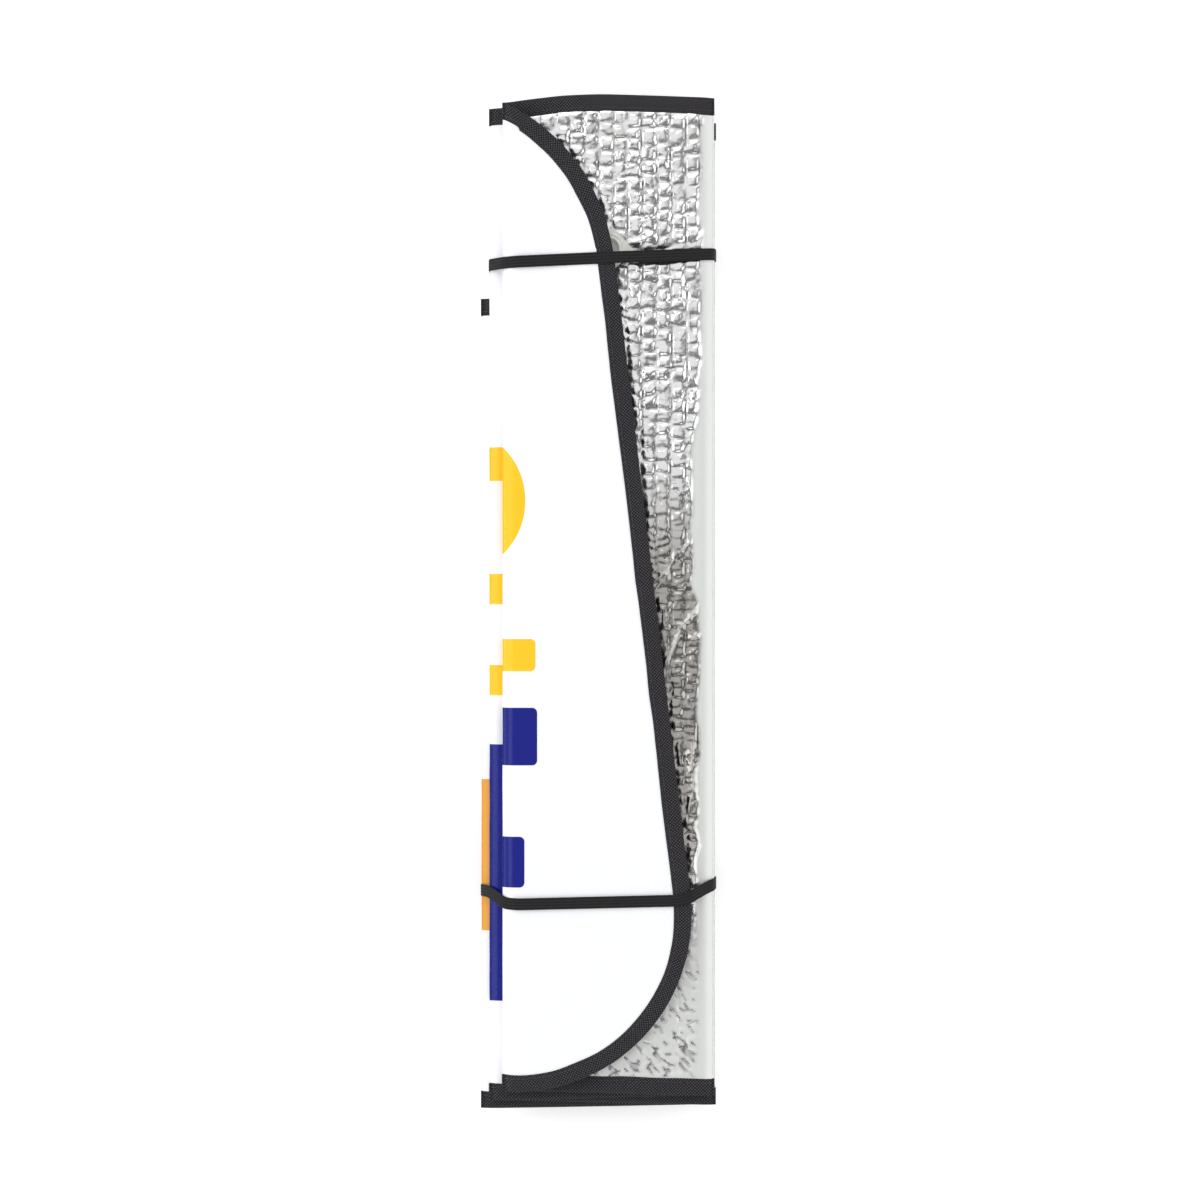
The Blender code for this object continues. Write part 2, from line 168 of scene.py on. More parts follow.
def evenly(path: np.ndarray, spacing: float, closed: bool = False) -> np.ndarray:
    """Put points on a path at even distances.

    Args:
        path: rows of coordinates.
        spacing: distance between two points.
        closed: whether the last point leads back to the first.

    Returns:
        The new rows; a closed path doesn't repeat its first point.
    """
    points = np.vstack([path, path[:1]]) if closed else path
    length = np.concatenate([[0], np.cumsum(np.linalg.norm(np.diff(points, axis=0), axis=1))])
    count = max(int(round(length[-1] / spacing)), 2)
    at = np.linspace(0, length[-1], count + 1)
    even = np.column_stack([np.interp(at, length, points[:, axis]) for axis in range(points.shape[1])])
    return even[:-1] if closed else even


def relaxed(path: np.ndarray, rounds: int, closed: bool = False) -> np.ndarray:
    """Round the corners of a path by averaging each point with its neighbours.

    Args:
        path: rows of coordinates.
        rounds: how many times to average.
        closed: whether the last point leads back to the first.

    Returns:
        The softened rows.
    """
    for _ in range(rounds):
        ahead, behind = np.roll(path, -1, axis=0), np.roll(path, 1, axis=0)
        softer = 0.5 * path + 0.25 * (ahead + behind)
        if not closed:
            softer[0], softer[-1] = path[0], path[-1]
        path = softer
    return path


def add_mesh(name: str, points: np.ndarray, faces: list, uv: np.ndarray | None = None) -> bpy.types.Object:
    """Make an object whose place is in its mesh.

    Args:
        name: the piece's name.
        points: rows of x, y and z in metres.
        faces: corner numbers of each face.
        uv: for each point, its place in the flat sheet, in metres.

    Returns:
        The new object, linked to the scene and shaded smooth.
    """
    mesh = bpy.data.meshes.new(name)
    mesh.from_pydata(points.tolist(), [], faces)
    if uv is not None:
        layer = mesh.uv_layers.new(name="Flat")
        corner = np.empty(len(mesh.loops), dtype=np.int32)
        mesh.loops.foreach_get("vertex_index", corner)
        layer.data.foreach_set("uv", uv[corner].astype(np.float32).ravel())
    mesh.shade_smooth()
    piece = bpy.data.objects.new(name, mesh)
    bpy.context.scene.collection.objects.link(piece)
    return piece


def grid_faces(rows: int, columns: int, round_rows: bool = False,
               round_columns: bool = False) -> list[list[int]]:
    """List the faces of a net of points numbered row by row.

    Args:
        rows: points down the net.
        columns: points across it.
        round_rows: whether the last row joins the first.
        round_columns: whether the last column joins the first.

    Returns:
        Corner numbers of each face.
    """
    down = np.arange(rows if round_rows else rows - 1)
    over = np.arange(columns if round_columns else columns - 1)
    row, column = np.meshgrid(down, over, indexing="ij")
    below, right = (row + 1) % rows, (column + 1) % columns
    corners = [row * columns + column, row * columns + right,
               below * columns + right, below * columns + column]
    return np.stack([corner.ravel() for corner in corners], axis=1).tolist()


def closed_slab(name: str, over: np.ndarray, under: np.ndarray, uv: np.ndarray, kept: np.ndarray,
                values: dict[str, np.ndarray] | None = None) -> bpy.types.Object:
    """Make a closed body between two nets of points that share their layout.

    Args:
        name: the piece's name.
        over: upper net, rows by columns by three.
        under: lower net.
        uv: place in the flat sheet, rows by columns by two.
        kept: which cells of the net belong to the body.
        values: numbers to keep on the mesh for its finish, by name, each rows by columns.

    Returns:
        The new piece.
    """
    rows, columns = over.shape[:2]
    count = rows * columns
    number = np.arange(count).reshape(rows, columns)
    cells = np.stack([number[:-1, :-1], number[:-1, 1:], number[1:, 1:], number[1:, :-1]], axis=2)[kept]
    held = np.pad(kept, 1)
    walls = []
    for (down, right), (here, after) in {(-1, 0): ((0, 0), (0, 1)), (0, 1): ((0, 1), (1, 1)),
                                         (1, 0): ((1, 1), (1, 0)), (0, -1): ((1, 0), (0, 0))}.items():
        beside = held[1 + down:rows + down, 1 + right:columns + right]
        row, column = np.nonzero(kept & ~beside)
        first, last = number[row + here[0], column + here[1]], number[row + after[0], column + after[1]]
        walls.append(np.stack([last, first, first + count, last + count], axis=1))
    faces = np.vstack([cells, cells[:, ::-1] + count, *walls])
    used, corners = np.unique(faces, return_inverse=True)
    points = np.vstack([over.reshape(-1, 3), under.reshape(-1, 3)])[used]
    slab = add_mesh(name, points, corners.reshape(-1, 4).tolist(), np.vstack([uv.reshape(-1, 2)] * 2)[used])
    for label, value in (values or {}).items():
        kept_value = slab.data.attributes.new(label, "FLOAT", "POINT")
        kept_value.data.foreach_set("value", np.tile(value.ravel(), 2)[used].astype(np.float32))
    return slab


def tube(name: str, rings: np.ndarray, uv: np.ndarray, closed: bool) -> bpy.types.Object:
    """Sweep a closed section: rings of points joined side to side, shut at both ends or joined in a loop.

    Args:
        name: the piece's name.
        rings: sections by points by three.
        uv: place of each point in the flat sheet.
        closed: whether the last ring joins the first; if not, both ends are shut.

    Returns:
        The new piece.
    """
    count, size = rings.shape[:2]
    faces = grid_faces(count, size, round_rows=closed, round_columns=True)
    if not closed:
        faces += [list(range(size)), list(range(count * size - 1, (count - 1) * size - 1, -1))]
    return add_mesh(name, rings.reshape(-1, 3), faces, uv.reshape(-1, 2))


def run_length(path: np.ndarray) -> np.ndarray:
    """Length run along a path up to each of its points."""
    return np.concatenate([[0], np.cumsum(np.linalg.norm(np.diff(path, axis=0), axis=1))])


def spread(down: np.ndarray, across: np.ndarray) -> np.ndarray:
    """Net of two-number rows: the first from the row, the second from the column."""
    return np.dstack(np.broadcast_arrays(down[:, None], across[None, :]))


def dress(piece: bpy.types.Object, finish: "Finish", slot: str, body: str = "", *nodes: str) -> None:
    """Give a piece its finish and its body, if any, and hide the frame's nodes it stands for.

    Args:
        piece: the new object.
        finish: its material's maker.
        slot: the record's material slot; not used.
        body: what it rides on, if any.
        nodes: frame nodes that it replaces.
    """
    piece.data.materials.append(finish.get())
    if body:
        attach(piece, body)
    if nodes:
        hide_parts(*nodes)


# ---------------------------------------------------------------- finishes


def plug(tree: bpy.types.NodeTree, node: bpy.types.Node, **values) -> bpy.types.Node:
    """Give a node's sockets their values; a value that is an output socket is linked.

    Args:
        tree: the material's node tree.
        node: the node.
        values: by socket name, with _ for a space, or by in0, in1 for a numbered socket.

    Returns:
        The same node.
    """
    for name, value in values.items():
        numbered = name.startswith("in") and name[2:].isdigit()
        socket = node.inputs[int(name[2:])] if numbered else node.inputs[name.replace("_", " ")]
        if isinstance(value, bpy.types.NodeSocket):
            tree.links.new(value, socket)
        else:
            socket.default_value = value
    return node


def add_node(tree: bpy.types.NodeTree, kind: str, settings: dict | None = None, **values) -> bpy.types.Node:
    """Add a shader node.

    Args:
        tree: the material's node tree.
        kind: the node's type name.
        settings: the node's own properties.
        values: what its sockets get, as plug takes them.

    Returns:
        The new node.
    """
    node = tree.nodes.new(kind)
    for name, value in (settings or {}).items():
        setattr(node, name, value)
    return plug(tree, node, **values)


def place_in(tree: bpy.types.NodeTree, kind: str = "Object") -> bpy.types.NodeSocket:
    """Place on the surface: in the object's own coordinates, or in the flat sheet for UV."""
    return add_node(tree, "ShaderNodeTexCoord").outputs[kind]


def noise_node(tree: bpy.types.NodeTree, place: bpy.types.NodeSocket, size: float, detail: float = 3.0,
               rough: float = 0.55) -> bpy.types.NodeSocket:
    """Noise whose swells are about size metres across."""
    return add_node(tree, "ShaderNodeTexNoise", None, Vector=place, Scale=1 / size, Detail=detail,
                    Roughness=rough).outputs["Fac"]


def remap(tree: bpy.types.NodeTree, value: bpy.types.NodeSocket, low: float, high: float, at_low: float,
          at_high: float) -> bpy.types.NodeSocket:
    """Carry a value over from one range to another."""
    return add_node(tree, "ShaderNodeMapRange", None, Value=value, in1=low, in2=high, in3=at_low,
                    in4=at_high).outputs[0]


def mixed(tree: bpy.types.NodeTree, share: bpy.types.NodeSocket, *tones: str | tuple | bpy.types.NodeSocket
          ) -> bpy.types.NodeSocket:
    """Blend the first colour into the second.

    Args:
        tree: the material's node tree.
        share: how much of the second, 0 to 1.
        tones: two colours, each a hex value, a linear colour or a socket.

    Returns:
        Socket of the blended colour.
    """
    first, second = (linear(tone) if isinstance(tone, str) else tone for tone in tones)
    mix = add_node(tree, "ShaderNodeMix", {"data_type": "RGBA"}, Factor=share, A=first, B=second)
    return mix.outputs["Result"]


def raised(tree: bpy.types.NodeTree, height: bpy.types.NodeSocket, strength: float, distance: float,
           **under: bpy.types.NodeSocket) -> bpy.types.NodeSocket:
    """Bump by a height, over an earlier bump given as Normal."""
    return add_node(tree, "ShaderNodeBump", None, Strength=strength, Distance=distance, Height=height,
                    **under).outputs["Normal"]


@dataclass
class Finish:
    """A surface finish: one material, made once and shared by every piece that has it."""

    name: str
    material: bpy.types.Material | None = None

    def start(self) -> tuple[bpy.types.NodeTree, bpy.types.Node]:
        """Make the empty material and return its tree and shader.

        Returns:
            The node tree and its Principled shader.
        """
        self.material = bpy.data.materials.new(self.name)
        self.material.use_nodes = True
        tree = self.material.node_tree
        return tree, tree.nodes["Principled BSDF"]

    def get(self) -> bpy.types.Material:
        """Return the material, made at the first call.

        Returns:
            The finish's one material.
        """
        if self.material is None:
            self.build()
        return self.material

    def build(self) -> None:
        """Lay out the nodes."""
        raise NotImplementedError


@dataclass
class MetallisedFoil(Finish):
    """Vacuum-metallised polyethylene film, laminated hot: bright and mirror-like between fine crinkles."""

    crinkle: float = 2.6 * MM
    bend: float = 6 * MM        # swells that curve the crinkles
    grain: float = 0.9 * MM
    patch: float = 22 * MM      # brighter and duller areas

    def build(self) -> None:
        """Lay out the nodes: fine crinkles as bump, patches of duller tint, and painted shade in the sealed
        creases.
        """
        tree, shader = self.start()
        place = place_in(tree)
        warp = add_node(tree, "ShaderNodeTexNoise", None, Vector=place, Scale=1 / self.bend, Detail=2.0,
                        Roughness=0.55).outputs["Color"]
        bent = add_node(tree, "ShaderNodeVectorMath", {"operation": "MULTIPLY_ADD"}, in0=warp,
                        in1=(2.2 * MM,) * 3, in2=place).outputs[0]
        creases = add_node(tree, "ShaderNodeTexVoronoi", {"feature": "DISTANCE_TO_EDGE"}, Vector=bent,
                           Scale=1 / self.crinkle, Randomness=1.0).outputs["Distance"]
        bump = raised(tree, remap(tree, creases, 0.0, 0.16, 0.0, 1.0), 0.08, 0.3 * MM)
        bump = raised(tree, noise_node(tree, place, self.grain, 2.0), 0.08, 0.25 * MM, Normal=bump)
        patches = noise_node(tree, place, self.patch)
        crease, rubbed, pressed = (
            add_node(tree, "ShaderNodeAttribute", {"attribute_name": name}).outputs["Fac"]
            for name in ("crease", "rubbed", "pressed"))
        tint = mixed(tree, patches, "#EEEFF1", "#DAD9D6")
        # the crease tone #575555 is painted shade in the sealed creases; #A5A29E is a duller tint and #E2E4E1
        # the pressed foil's own tone
        for share, tone in ((rubbed, "#A5A29E"), (crease, "#575555"), (pressed, "#E2E4E1")):
            tint = mixed(tree, share, tint, tone)
        rough = add_node(tree, "ShaderNodeMix", {"data_type": "FLOAT"}, Factor=pressed,
                         A=remap(tree, patches, 0.35, 0.7, 0.13, 0.26), B=0.62).outputs["Result"]
        plug(tree, shader, Base_Color=tint, Roughness=rough, Normal=bump, Metallic=1.0)


@dataclass(frozen=True)
class Motif:
    """One printed shape: a bar or disc with rounded corners, placed in the flat sheet, in millimetres."""

    across: float
    up: float
    half_width: float
    half_height: float
    corner: float
    ink: str


YELLOW, NAVY, AMBER = "#F8C81E", "#06157F", "#E9A43C"
WAVE_SCALE = 0.314              # scale that sets a wave texture's bands one metre apart


@dataclass
class PrintedFilm(Finish):
    """White polyethylene film with a satin face, gravure printed in flat inks."""

    motifs: tuple[Motif, ...] = ()

    def build(self) -> None:
        """Lay out the nodes: white ground, each motif as a rounded shape, and a soft pebbled face."""
        tree, shader = self.start()
        flat, place = place_in(tree, "UV"), place_in(tree)
        colour = linear("#F6F7F9")
        for motif in self.motifs:
            colour = mixed(tree, self.inside(tree, flat, motif), colour, motif.ink)
        pebble = noise_node(tree, place, 5 * MM, 2.0)
        bump = raised(tree, pebble, 0.10, 0.4 * MM)
        bump = raised(tree, noise_node(tree, place, 0.8 * MM, 2.0), 0.06, 0.2 * MM, Normal=bump)
        gloss = remap(tree, pebble, 0.3, 0.7, 0.22, 0.30)
        plug(tree, shader, Base_Color=colour, Normal=bump, Roughness=gloss, Specular_IOR_Level=0.25)

    @staticmethod
    def inside(tree: bpy.types.NodeTree, flat: bpy.types.NodeSocket, motif: Motif) -> bpy.types.NodeSocket:
        """Return a mask that is one inside the motif's rounded outline.

        Args:
            tree: the material's node tree.
            flat: place in the flat sheet.
            motif: the printed shape.

        Returns:
            Socket of the mask.
        """
        centre = (motif.across * MM, motif.up * MM, 0)
        core = ((motif.half_width - motif.corner) * MM, (motif.half_height - motif.corner) * MM, 0)
        away = flat
        for operation, other in (("SUBTRACT", {"in1": centre}), ("ABSOLUTE", {}), ("SUBTRACT", {"in1": core}),
                                 ("MAXIMUM", {"in1": (0, 0, 0)}), ("LENGTH", {})):
            step = add_node(tree, "ShaderNodeVectorMath", {"operation": operation}, in0=away, **other)
            away = step.outputs["Value" if operation == "LENGTH" else 0]
        edge, blur = motif.corner * MM, 0.1 * MM
        return remap(tree, away, edge - blur, edge + blur, 1.0, 0.0)


@dataclass
class BindingCloth(Finish):
    """Spunbonded polypropylene tape, black: matt, pressed all over with a grid of small dots."""

    dot: float = 1.35 * MM    # the real press dots are 0.8 mm apart, drawn coarser so that they show

    def build(self) -> None:
        """Lay out the nodes: pressed dots, each painted lighter as sheen, and loose fibres that follow the
        tape.
        """
        tree, shader = self.start()
        flat = place_in(tree, "UV")
        turned = add_node(tree, "ShaderNodeMapping", None, Vector=flat, Rotation=(0, 0, math.radians(45)))
        dots = add_node(tree, "ShaderNodeTexVoronoi", {"feature": "F1"}, Vector=turned.outputs[0],
                        Scale=1 / self.dot, Randomness=0.12)
        dot_and_sheen = remap(tree, dots.outputs["Distance"], 0.22, 0.40, 0.0, 1.0)
        bump = raised(tree, dot_and_sheen, 0.6, 0.25 * MM)
        bump = raised(tree, noise_node(tree, flat, 0.7 * MM, 4.0, 0.7), 0.35, 0.2 * MM, Normal=bump)
        base = mixed(tree, noise_node(tree, flat, 35 * MM), "#100F11", "#1B191B")
        # painted sheen: the pressed dots are painted lighter (#504E54) than the black tape
        plug(tree, shader, Base_Color=mixed(tree, dot_and_sheen, "#504E54", base), Normal=bump, Roughness=0.78,
             Specular_IOR_Level=0.22)


@dataclass
class BraidedElastic(Finish):
    """Braided flat elastic, black polyester over rubber: ribs along it and a close crosswise braid."""

    braid: float = 0.9 * MM
    rib: float = 1.75 * MM

    def build(self) -> None:
        """Lay out the nodes: slanted braid between the ribs, which are modelled; painted shade darkens the
        grooves between the ribs and painted sheen lightens the braid's crests.
        """
        tree, shader = self.start()
        flat = place_in(tree, "UV")
        turned = add_node(tree, "ShaderNodeMapping", None, Vector=flat, Rotation=(0, 0, math.radians(24)))
        braid = self.bands(tree, turned.outputs[0], "X", self.braid, 1.2)
        bump = raised(tree, braid, 0.5, 0.2 * MM)
        bump = raised(tree, noise_node(tree, flat, 0.6 * MM), 0.3, 0.15 * MM, Normal=bump)
        ribs = self.bands(tree, flat, "Y", self.rib, 0.4)
        # painted shade and sheen: rib grooves go darker (#0A0A0B), braid crests lighter (#29272A)
        base = mixed(tree, ribs, mixed(tree, braid, "#171618", "#29272A"), "#0A0A0B")
        plug(tree, shader, Base_Color=base, Normal=bump, Roughness=0.7, Specular_IOR_Level=0.3)

    @staticmethod
    def bands(tree: bpy.types.NodeTree, place: bpy.types.NodeSocket, axis: str, pitch: float,
              waver: float) -> bpy.types.NodeSocket:
        """Bands across an axis that waver a little.

        Args:
            tree: the material's node tree.
            place: place in the flat sheet.
            axis: X or Y, the direction that the bands are counted in.
            pitch: metres from band to band.
            waver: how far they stray.

        Returns:
            Socket of the bands' height, 0 to 1.
        """
        wave = add_node(tree, "ShaderNodeTexWave", {"wave_type": "BANDS", "bands_direction": axis},
                        Vector=place, Scale=WAVE_SCALE / pitch, Distortion=waver, Detail=1.0)
        return wave.outputs["Fac"]


@dataclass
class SewingThread(Finish):
    """Black spun polyester thread, a little glossier than the tape it sews."""

    def build(self) -> None:
        """Lay out the nodes: twist of the thread as bump."""
        tree, shader = self.start()
        twist = noise_node(tree, place_in(tree), 0.3 * MM, 2.0)
        plug(tree, shader, Base_Color=mixed(tree, twist, "#2C2A2E", "#4A474C"),
             Normal=raised(tree, twist, 0.4, 0.1 * MM), Roughness=0.5)


@dataclass
class ClearVinyl(Finish):
    """Clear plasticised PVC, moulded: glossy, with the faint green-yellow of thick soft vinyl."""

    def build(self) -> None:
        """Lay out the nodes: a body only partly clear and otherwise white, painted light for the brightness
        that shows through clear vinyl, with a little haze where plasticiser has come out.
        """
        tree, shader = self.start()
        haze = noise_node(tree, place_in(tree), 4 * MM)
        # painted light: the white, mostly opaque body stands in for the brightness that shows through the clear
        # cup
        plug(tree, shader, Roughness=remap(tree, haze, 0.35, 0.7, 0.05, 0.18), Base_Color=linear("#FDFDF5"),
             Transmission_Weight=0.35, IOR=1.53)


@dataclass
class StudioFloor(Finish):
    """Matt white paper over a light table, lit a little from below so that shadows stay faint."""

    def build(self) -> None:
        """Lay out the nodes: near-white, clouded a little."""
        tree, shader = self.start()
        cloud = noise_node(tree, place_in(tree), 60 * MM, 2.0)
        plug(tree, shader, Base_Color=mixed(tree, cloud, "#F4F4F4", "#F7F7F7"), Roughness=0.9,
             Emission_Color=linear("#FFFFFF"), Emission_Strength=0.30)


# Motifs in the flat sheet: across is the distance from the middle fold, up the height above its middle.
# A sun disc and plain rounded bars, laid so that each crosses a fold.
MOTIFS = (
    Motif(496, 60, 44, 44, 43.9, YELLOW),
    Motif(530, -31, 16, 9.5, 3, YELLOW),
    Motif(529, -79, 18, 17, 3, NAVY),
    Motif(525, -153, 14.5, 15, 3, NAVY),
    Motif(268, 82, 14, 10, 3, YELLOW),
    Motif(268, 8, 14, 9, 3, YELLOW),
    Motif(268, -46, 14, 9, 3, YELLOW),
    Motif(270, -160, 14, 76, 4, NAVY),
    Motif(4, -150, 14, 45, 4, AMBER),
)

FOIL = MetallisedFoil("metallised_film_laminated")
PRINT = PrintedFilm("polyethylene_film_gravure_printed", motifs=MOTIFS)
CLOTH = BindingCloth("polypropylene_tape_spunbonded")
ELASTIC = BraidedElastic("polyester_elastic_braided")
THREAD = SewingThread("polyester_thread_spun")
VINYL = ClearVinyl("soft_vinyl_moulded")


# ---------------------------------------------------------------- frame


def node_points(node: str) -> np.ndarray:
    """Corners of a frame node, as rows of x, y and z.

    Args:
        node: the node's name.

    Returns:
        The rows, in metres.
    """
    mesh = frame["nodes"][node].data
    points = np.empty(len(mesh.vertices) * 3)
    mesh.vertices.foreach_get("co", points)
    return points.reshape(-1, 3)


@dataclass(frozen=True)
class Fold:
    """A fold line of the closed stack."""

    number: int
    x: float
    z: float


def read_folds() -> dict[int, Fold]:
    """Read every fold line from the frame's hinges.

    Returns:
        The folds by number.
    """
    found = {}
    for joint in frame["record"]["behaviour"]["joints"]:
        if joint["name"].startswith("fold_"):
            number = int(joint["name"][5:])
            found[number] = Fold(number, joint["pos_m"][0], joint["pos_m"][2])
    return found


FOLD_LINES = read_folds()


@dataclass
class PanelShape:
    """Outline, middle plane and folds of one panel, read from the frame's nodes."""

    number: int
    z: float = field(init=False)
    folds: list[Fold] = field(init=False)
    edges: dict[str, np.ndarray] = field(init=False)    # bound edges, clockwise seen from above

    def __post_init__(self) -> None:
        """Read the outline and the folds."""
        label = f"{self.number:02d}"
        low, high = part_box(f"print_cover_{label}")
        other_low, other_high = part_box(f"foil_{label}")
        self.z = (min(low[2], other_low[2]) + max(high[2], other_high[2])) / 2
        self.folds = [FOLD_LINES[number] for number in (self.number - 1, self.number) if number in FOLD_LINES]
        points = np.unique(np.round(node_points(f"bubble_core_{label}")[:, :2], 6), axis=0)
        if self.is_end:
            hull = points[convex_hull_2d([Vector(point) for point in points])]
            at_fold = np.abs(hull[:, 0] - self.folds[0].x) < 1 * MM
            start = int(np.argmax(np.where(at_fold, hull[:, 1], -1)))
            chain = np.roll(hull, -start, axis=0)
            chains = {"end": chain if chain[1, 0] > chain[0, 0] else np.roll(chain[::-1], 1, axis=0)}
        else:
            chains = self.chains(points)
        self.edges = {name: relaxed(evenly(chain, OUTLINE_STEP), 40) for name, chain in chains.items()}

    def chains(self, points: np.ndarray) -> dict[str, np.ndarray]:
        """Sort the corners of a panel between two folds into its upper and lower edge.

        Args:
            points: corners of the panel's core, x and y.

        Returns:
            Both edges, clockwise seen from above.
        """
        cup = f"suction_cup_{self.number:02d}"
        if cup in frame["nodes"]:
            middle = np.mean(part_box(cup), axis=0)[:2]
            points = points[np.linalg.norm(points - middle, axis=1) > 8 * MM]
        places = np.unique(points[:, 0])
        columns = [points[points[:, 0] == place, 1] for place in places]
        rows = list(zip(places, columns))
        top = np.array([(place, column.max()) for place, column in rows if column.max() > 0])
        bottom = np.array([(place, column.min()) for place, column in rows if column.min() < 0])
        return {"top": top, "bottom": bottom[::-1]}

    @property
    def is_end(self) -> bool:
        """Whether the panel has a free edge."""
        return len(self.folds) == 1

    @property
    def cover(self) -> Face:
        """Which way the printed film looks."""
        return Face.UP if self.number % 2 else Face.DOWN

    def span(self) -> np.ndarray:
        """Least and greatest x and y of the outline, as two rows."""
        points = np.vstack(list(self.edges.values()))
        return np.array([points.min(axis=0), points.max(axis=0)])

    def depth(self, x: np.ndarray, y: np.ndarray) -> np.ndarray:
        """Distance of each point from the nearest bound edge, below zero outside the outline.

        Args:
            x: across the panel.
            y: along it.

        Returns:
            Distances in metres.
        """
        flat = np.column_stack([x.ravel(), y.ravel()])
        away = np.full(len(flat), np.inf)
        inside = np.zeros(len(flat), dtype=bool)
        for edge in self.edges.values():
            coarse = evenly(edge, COARSE_STEP)
            for here, after in zip(coarse[:-1], coarse[1:]):
                run = after - here
                share = np.clip((flat - here) @ run / (run @ run), 0, 1)
                away = np.minimum(away, np.hypot(*(flat - here - share[:, None] * run).T))
        corners = np.vstack([evenly(edge, COARSE_STEP) for edge in self.edges.values()])
        for here, after in zip(corners, np.roll(corners, -1, axis=0)):
            if here[1] != after[1]:
                crossed = (here[1] > flat[:, 1]) != (after[1] > flat[:, 1])
                reach = here[0] + (flat[:, 1] - here[1]) * (after[0] - here[0]) / (after[1] - here[1])
                inside ^= crossed & (flat[:, 0] * 0.999 < reach)    # keeps points on a fold line inside
        return np.where(inside, away, -away).reshape(x.shape)

    def fold_distance(self, x: np.ndarray) -> np.ndarray:
        """Distance of each x from the nearest fold line."""
        return np.min([np.abs(x - fold.x) for fold in self.folds], axis=0)

    def faces(self, x: np.ndarray) -> tuple[np.ndarray, np.ndarray, np.ndarray]:
        """Find the laminate's two faces, which close in on each fold.

        Args:
            x: places across the stack.

        Returns:
            Heights of the lower and upper face, and the share of full thickness, 0 at a fold.
        """
        under = np.full_like(x, self.z - HALF_LAMINATE)
        over = np.full_like(x, self.z + HALF_LAMINATE)
        share = np.ones_like(x)
        for fold in self.folds:
            run = np.clip(np.abs(x - fold.x) / CREASE, 0, 1)
            rise = 1 - (1 - run) ** PINCH
            side = 1 if self.z > fold.z else -1
            reach = abs(self.z - fold.z)
            outer = fold.z + side * (OUTER_TIP + (reach + HALF_LAMINATE - OUTER_TIP) * rise)
            inner = fold.z + side * (INNER_TIP + (reach - HALF_LAMINATE - INNER_TIP) * rise)
            near = run < 1
            under = np.where(near, inner if side > 0 else outer, under)
            over = np.where(near, outer if side > 0 else inner, over)
            share = np.where(near, rise, share)
        return under, over, share

    def flat_distance(self, x: np.ndarray) -> np.ndarray:
        """Distance from the shade's middle fold along the unfolded sheet.

        Args:
            x: places across the panel.

        Returns:
            Distances in metres.
        """
        middle = PANELS // 2
        inner = min(self.folds, key=lambda fold: abs(fold.number - middle))
        low, high = sorted((inner.number, middle))
        before = sum(abs(FOLD_LINES[step + 1].x - FOLD_LINES[step].x) for step in range(low, high))
        return before + np.abs(x - inner.x)


SHAPES = {number: PanelShape(number) for number in range(1, PANELS + 1)}


# ---------------------------------------------------------------- panels


CRINKLES = ((5.2, 0.50), (3.1, 0.34), (1.9, 0.16))    # size of the foil's crinkles in mm and their shares


@dataclass
class BubbleRelief:
    """Shape of the foil over its bubbles, in millimetres."""

    seed: int
    pitch: float = 8.6          # between columns of bubbles
    row: float = 7.8            # between bubbles in a column
    height: float = 0.7
    crumple: float = 1.0
    marks: float = 0.45         # how deep the creases across a column are, and so how dark their painted shade, beside those along it

    def at(self, x: np.ndarray, y: np.ndarray) -> tuple[np.ndarray, np.ndarray]:
        """Find the relief at points given in millimetres.

        Args:
            x: across the panel.
            y: along it.

        Returns:
            Height of the foil, and how deep each point lies in a sealed crease, from 0 to 1; the second also
            sets the painted shade in the creases.
        """
        seed = self.seed * SEEDS
        across = x + 1.1 * noise(x, y, 34, seed + 1) + 0.75 * noise(x, y, 7, seed + 2)
        along = y + 1.8 * noise(x, y, 38, seed + 3) + 1.5 * noise(x, y, 9, seed + 4)
        column = np.floor(across / self.pitch)
        pace, shift = (cell_values(column, column * 0, seed + step) for step in (10, 19))
        pace = self.row * (0.85 + 0.3 * pace)
        row = np.floor(along / pace + shift)
        over = (across / self.pitch - column - 0.5) * 2
        up = (along / pace + shift - row - 0.5) * 2
        tall, lean, tip, bend, place = (cell_values(column, row, seed + step) for step in range(5, 10))
        radius = (np.abs(over) ** 2.5 + np.abs(up) ** 2.5) ** 0.4
        round_top = np.clip(1 - (radius / (0.98 + 0.08 * place)) ** 2, 0, 1) ** 0.8
        slope = 0.9 * (lean - 0.5) * over + 1.0 * (tip - 0.5) * up
        fold = up + (bend - 0.5) * 1.6 * over - (place - 0.5) * 0.9
        dent = 0.34 * np.exp(-np.abs(fold) / 0.16) * (tall > 0.3)
        bubble = round_top * (0.8 + 0.4 * tall - dent) + 0.9 * slope * np.sqrt(round_top)
        crinkle = sum(size * (0.5 - np.abs(noise(across + 1.5 * noise(x, y, 5, seed + 11), along, cell,
                                                 seed + 12 + step, 0.7)))
                      for step, (cell, size) in enumerate(CRINKLES))
        seam = np.exp(-((1 - np.abs(over)) / 0.09) ** 2) * smoothstep(-0.4, 0.5, noise(x, y, 8, seed + 16))
        cross = np.exp(-((1 - np.abs(up)) / 0.09) ** 2) * smoothstep(0.0, 0.7, noise(x, y, 6, seed + 17))
        # sealed crease lines: they sink the foil and set the painted shade of its creases
        crease = np.clip(seam + self.marks * cross, 0, 1)
        return self.height * (bubble + self.crumple * crinkle - 0.35 * crease), crease


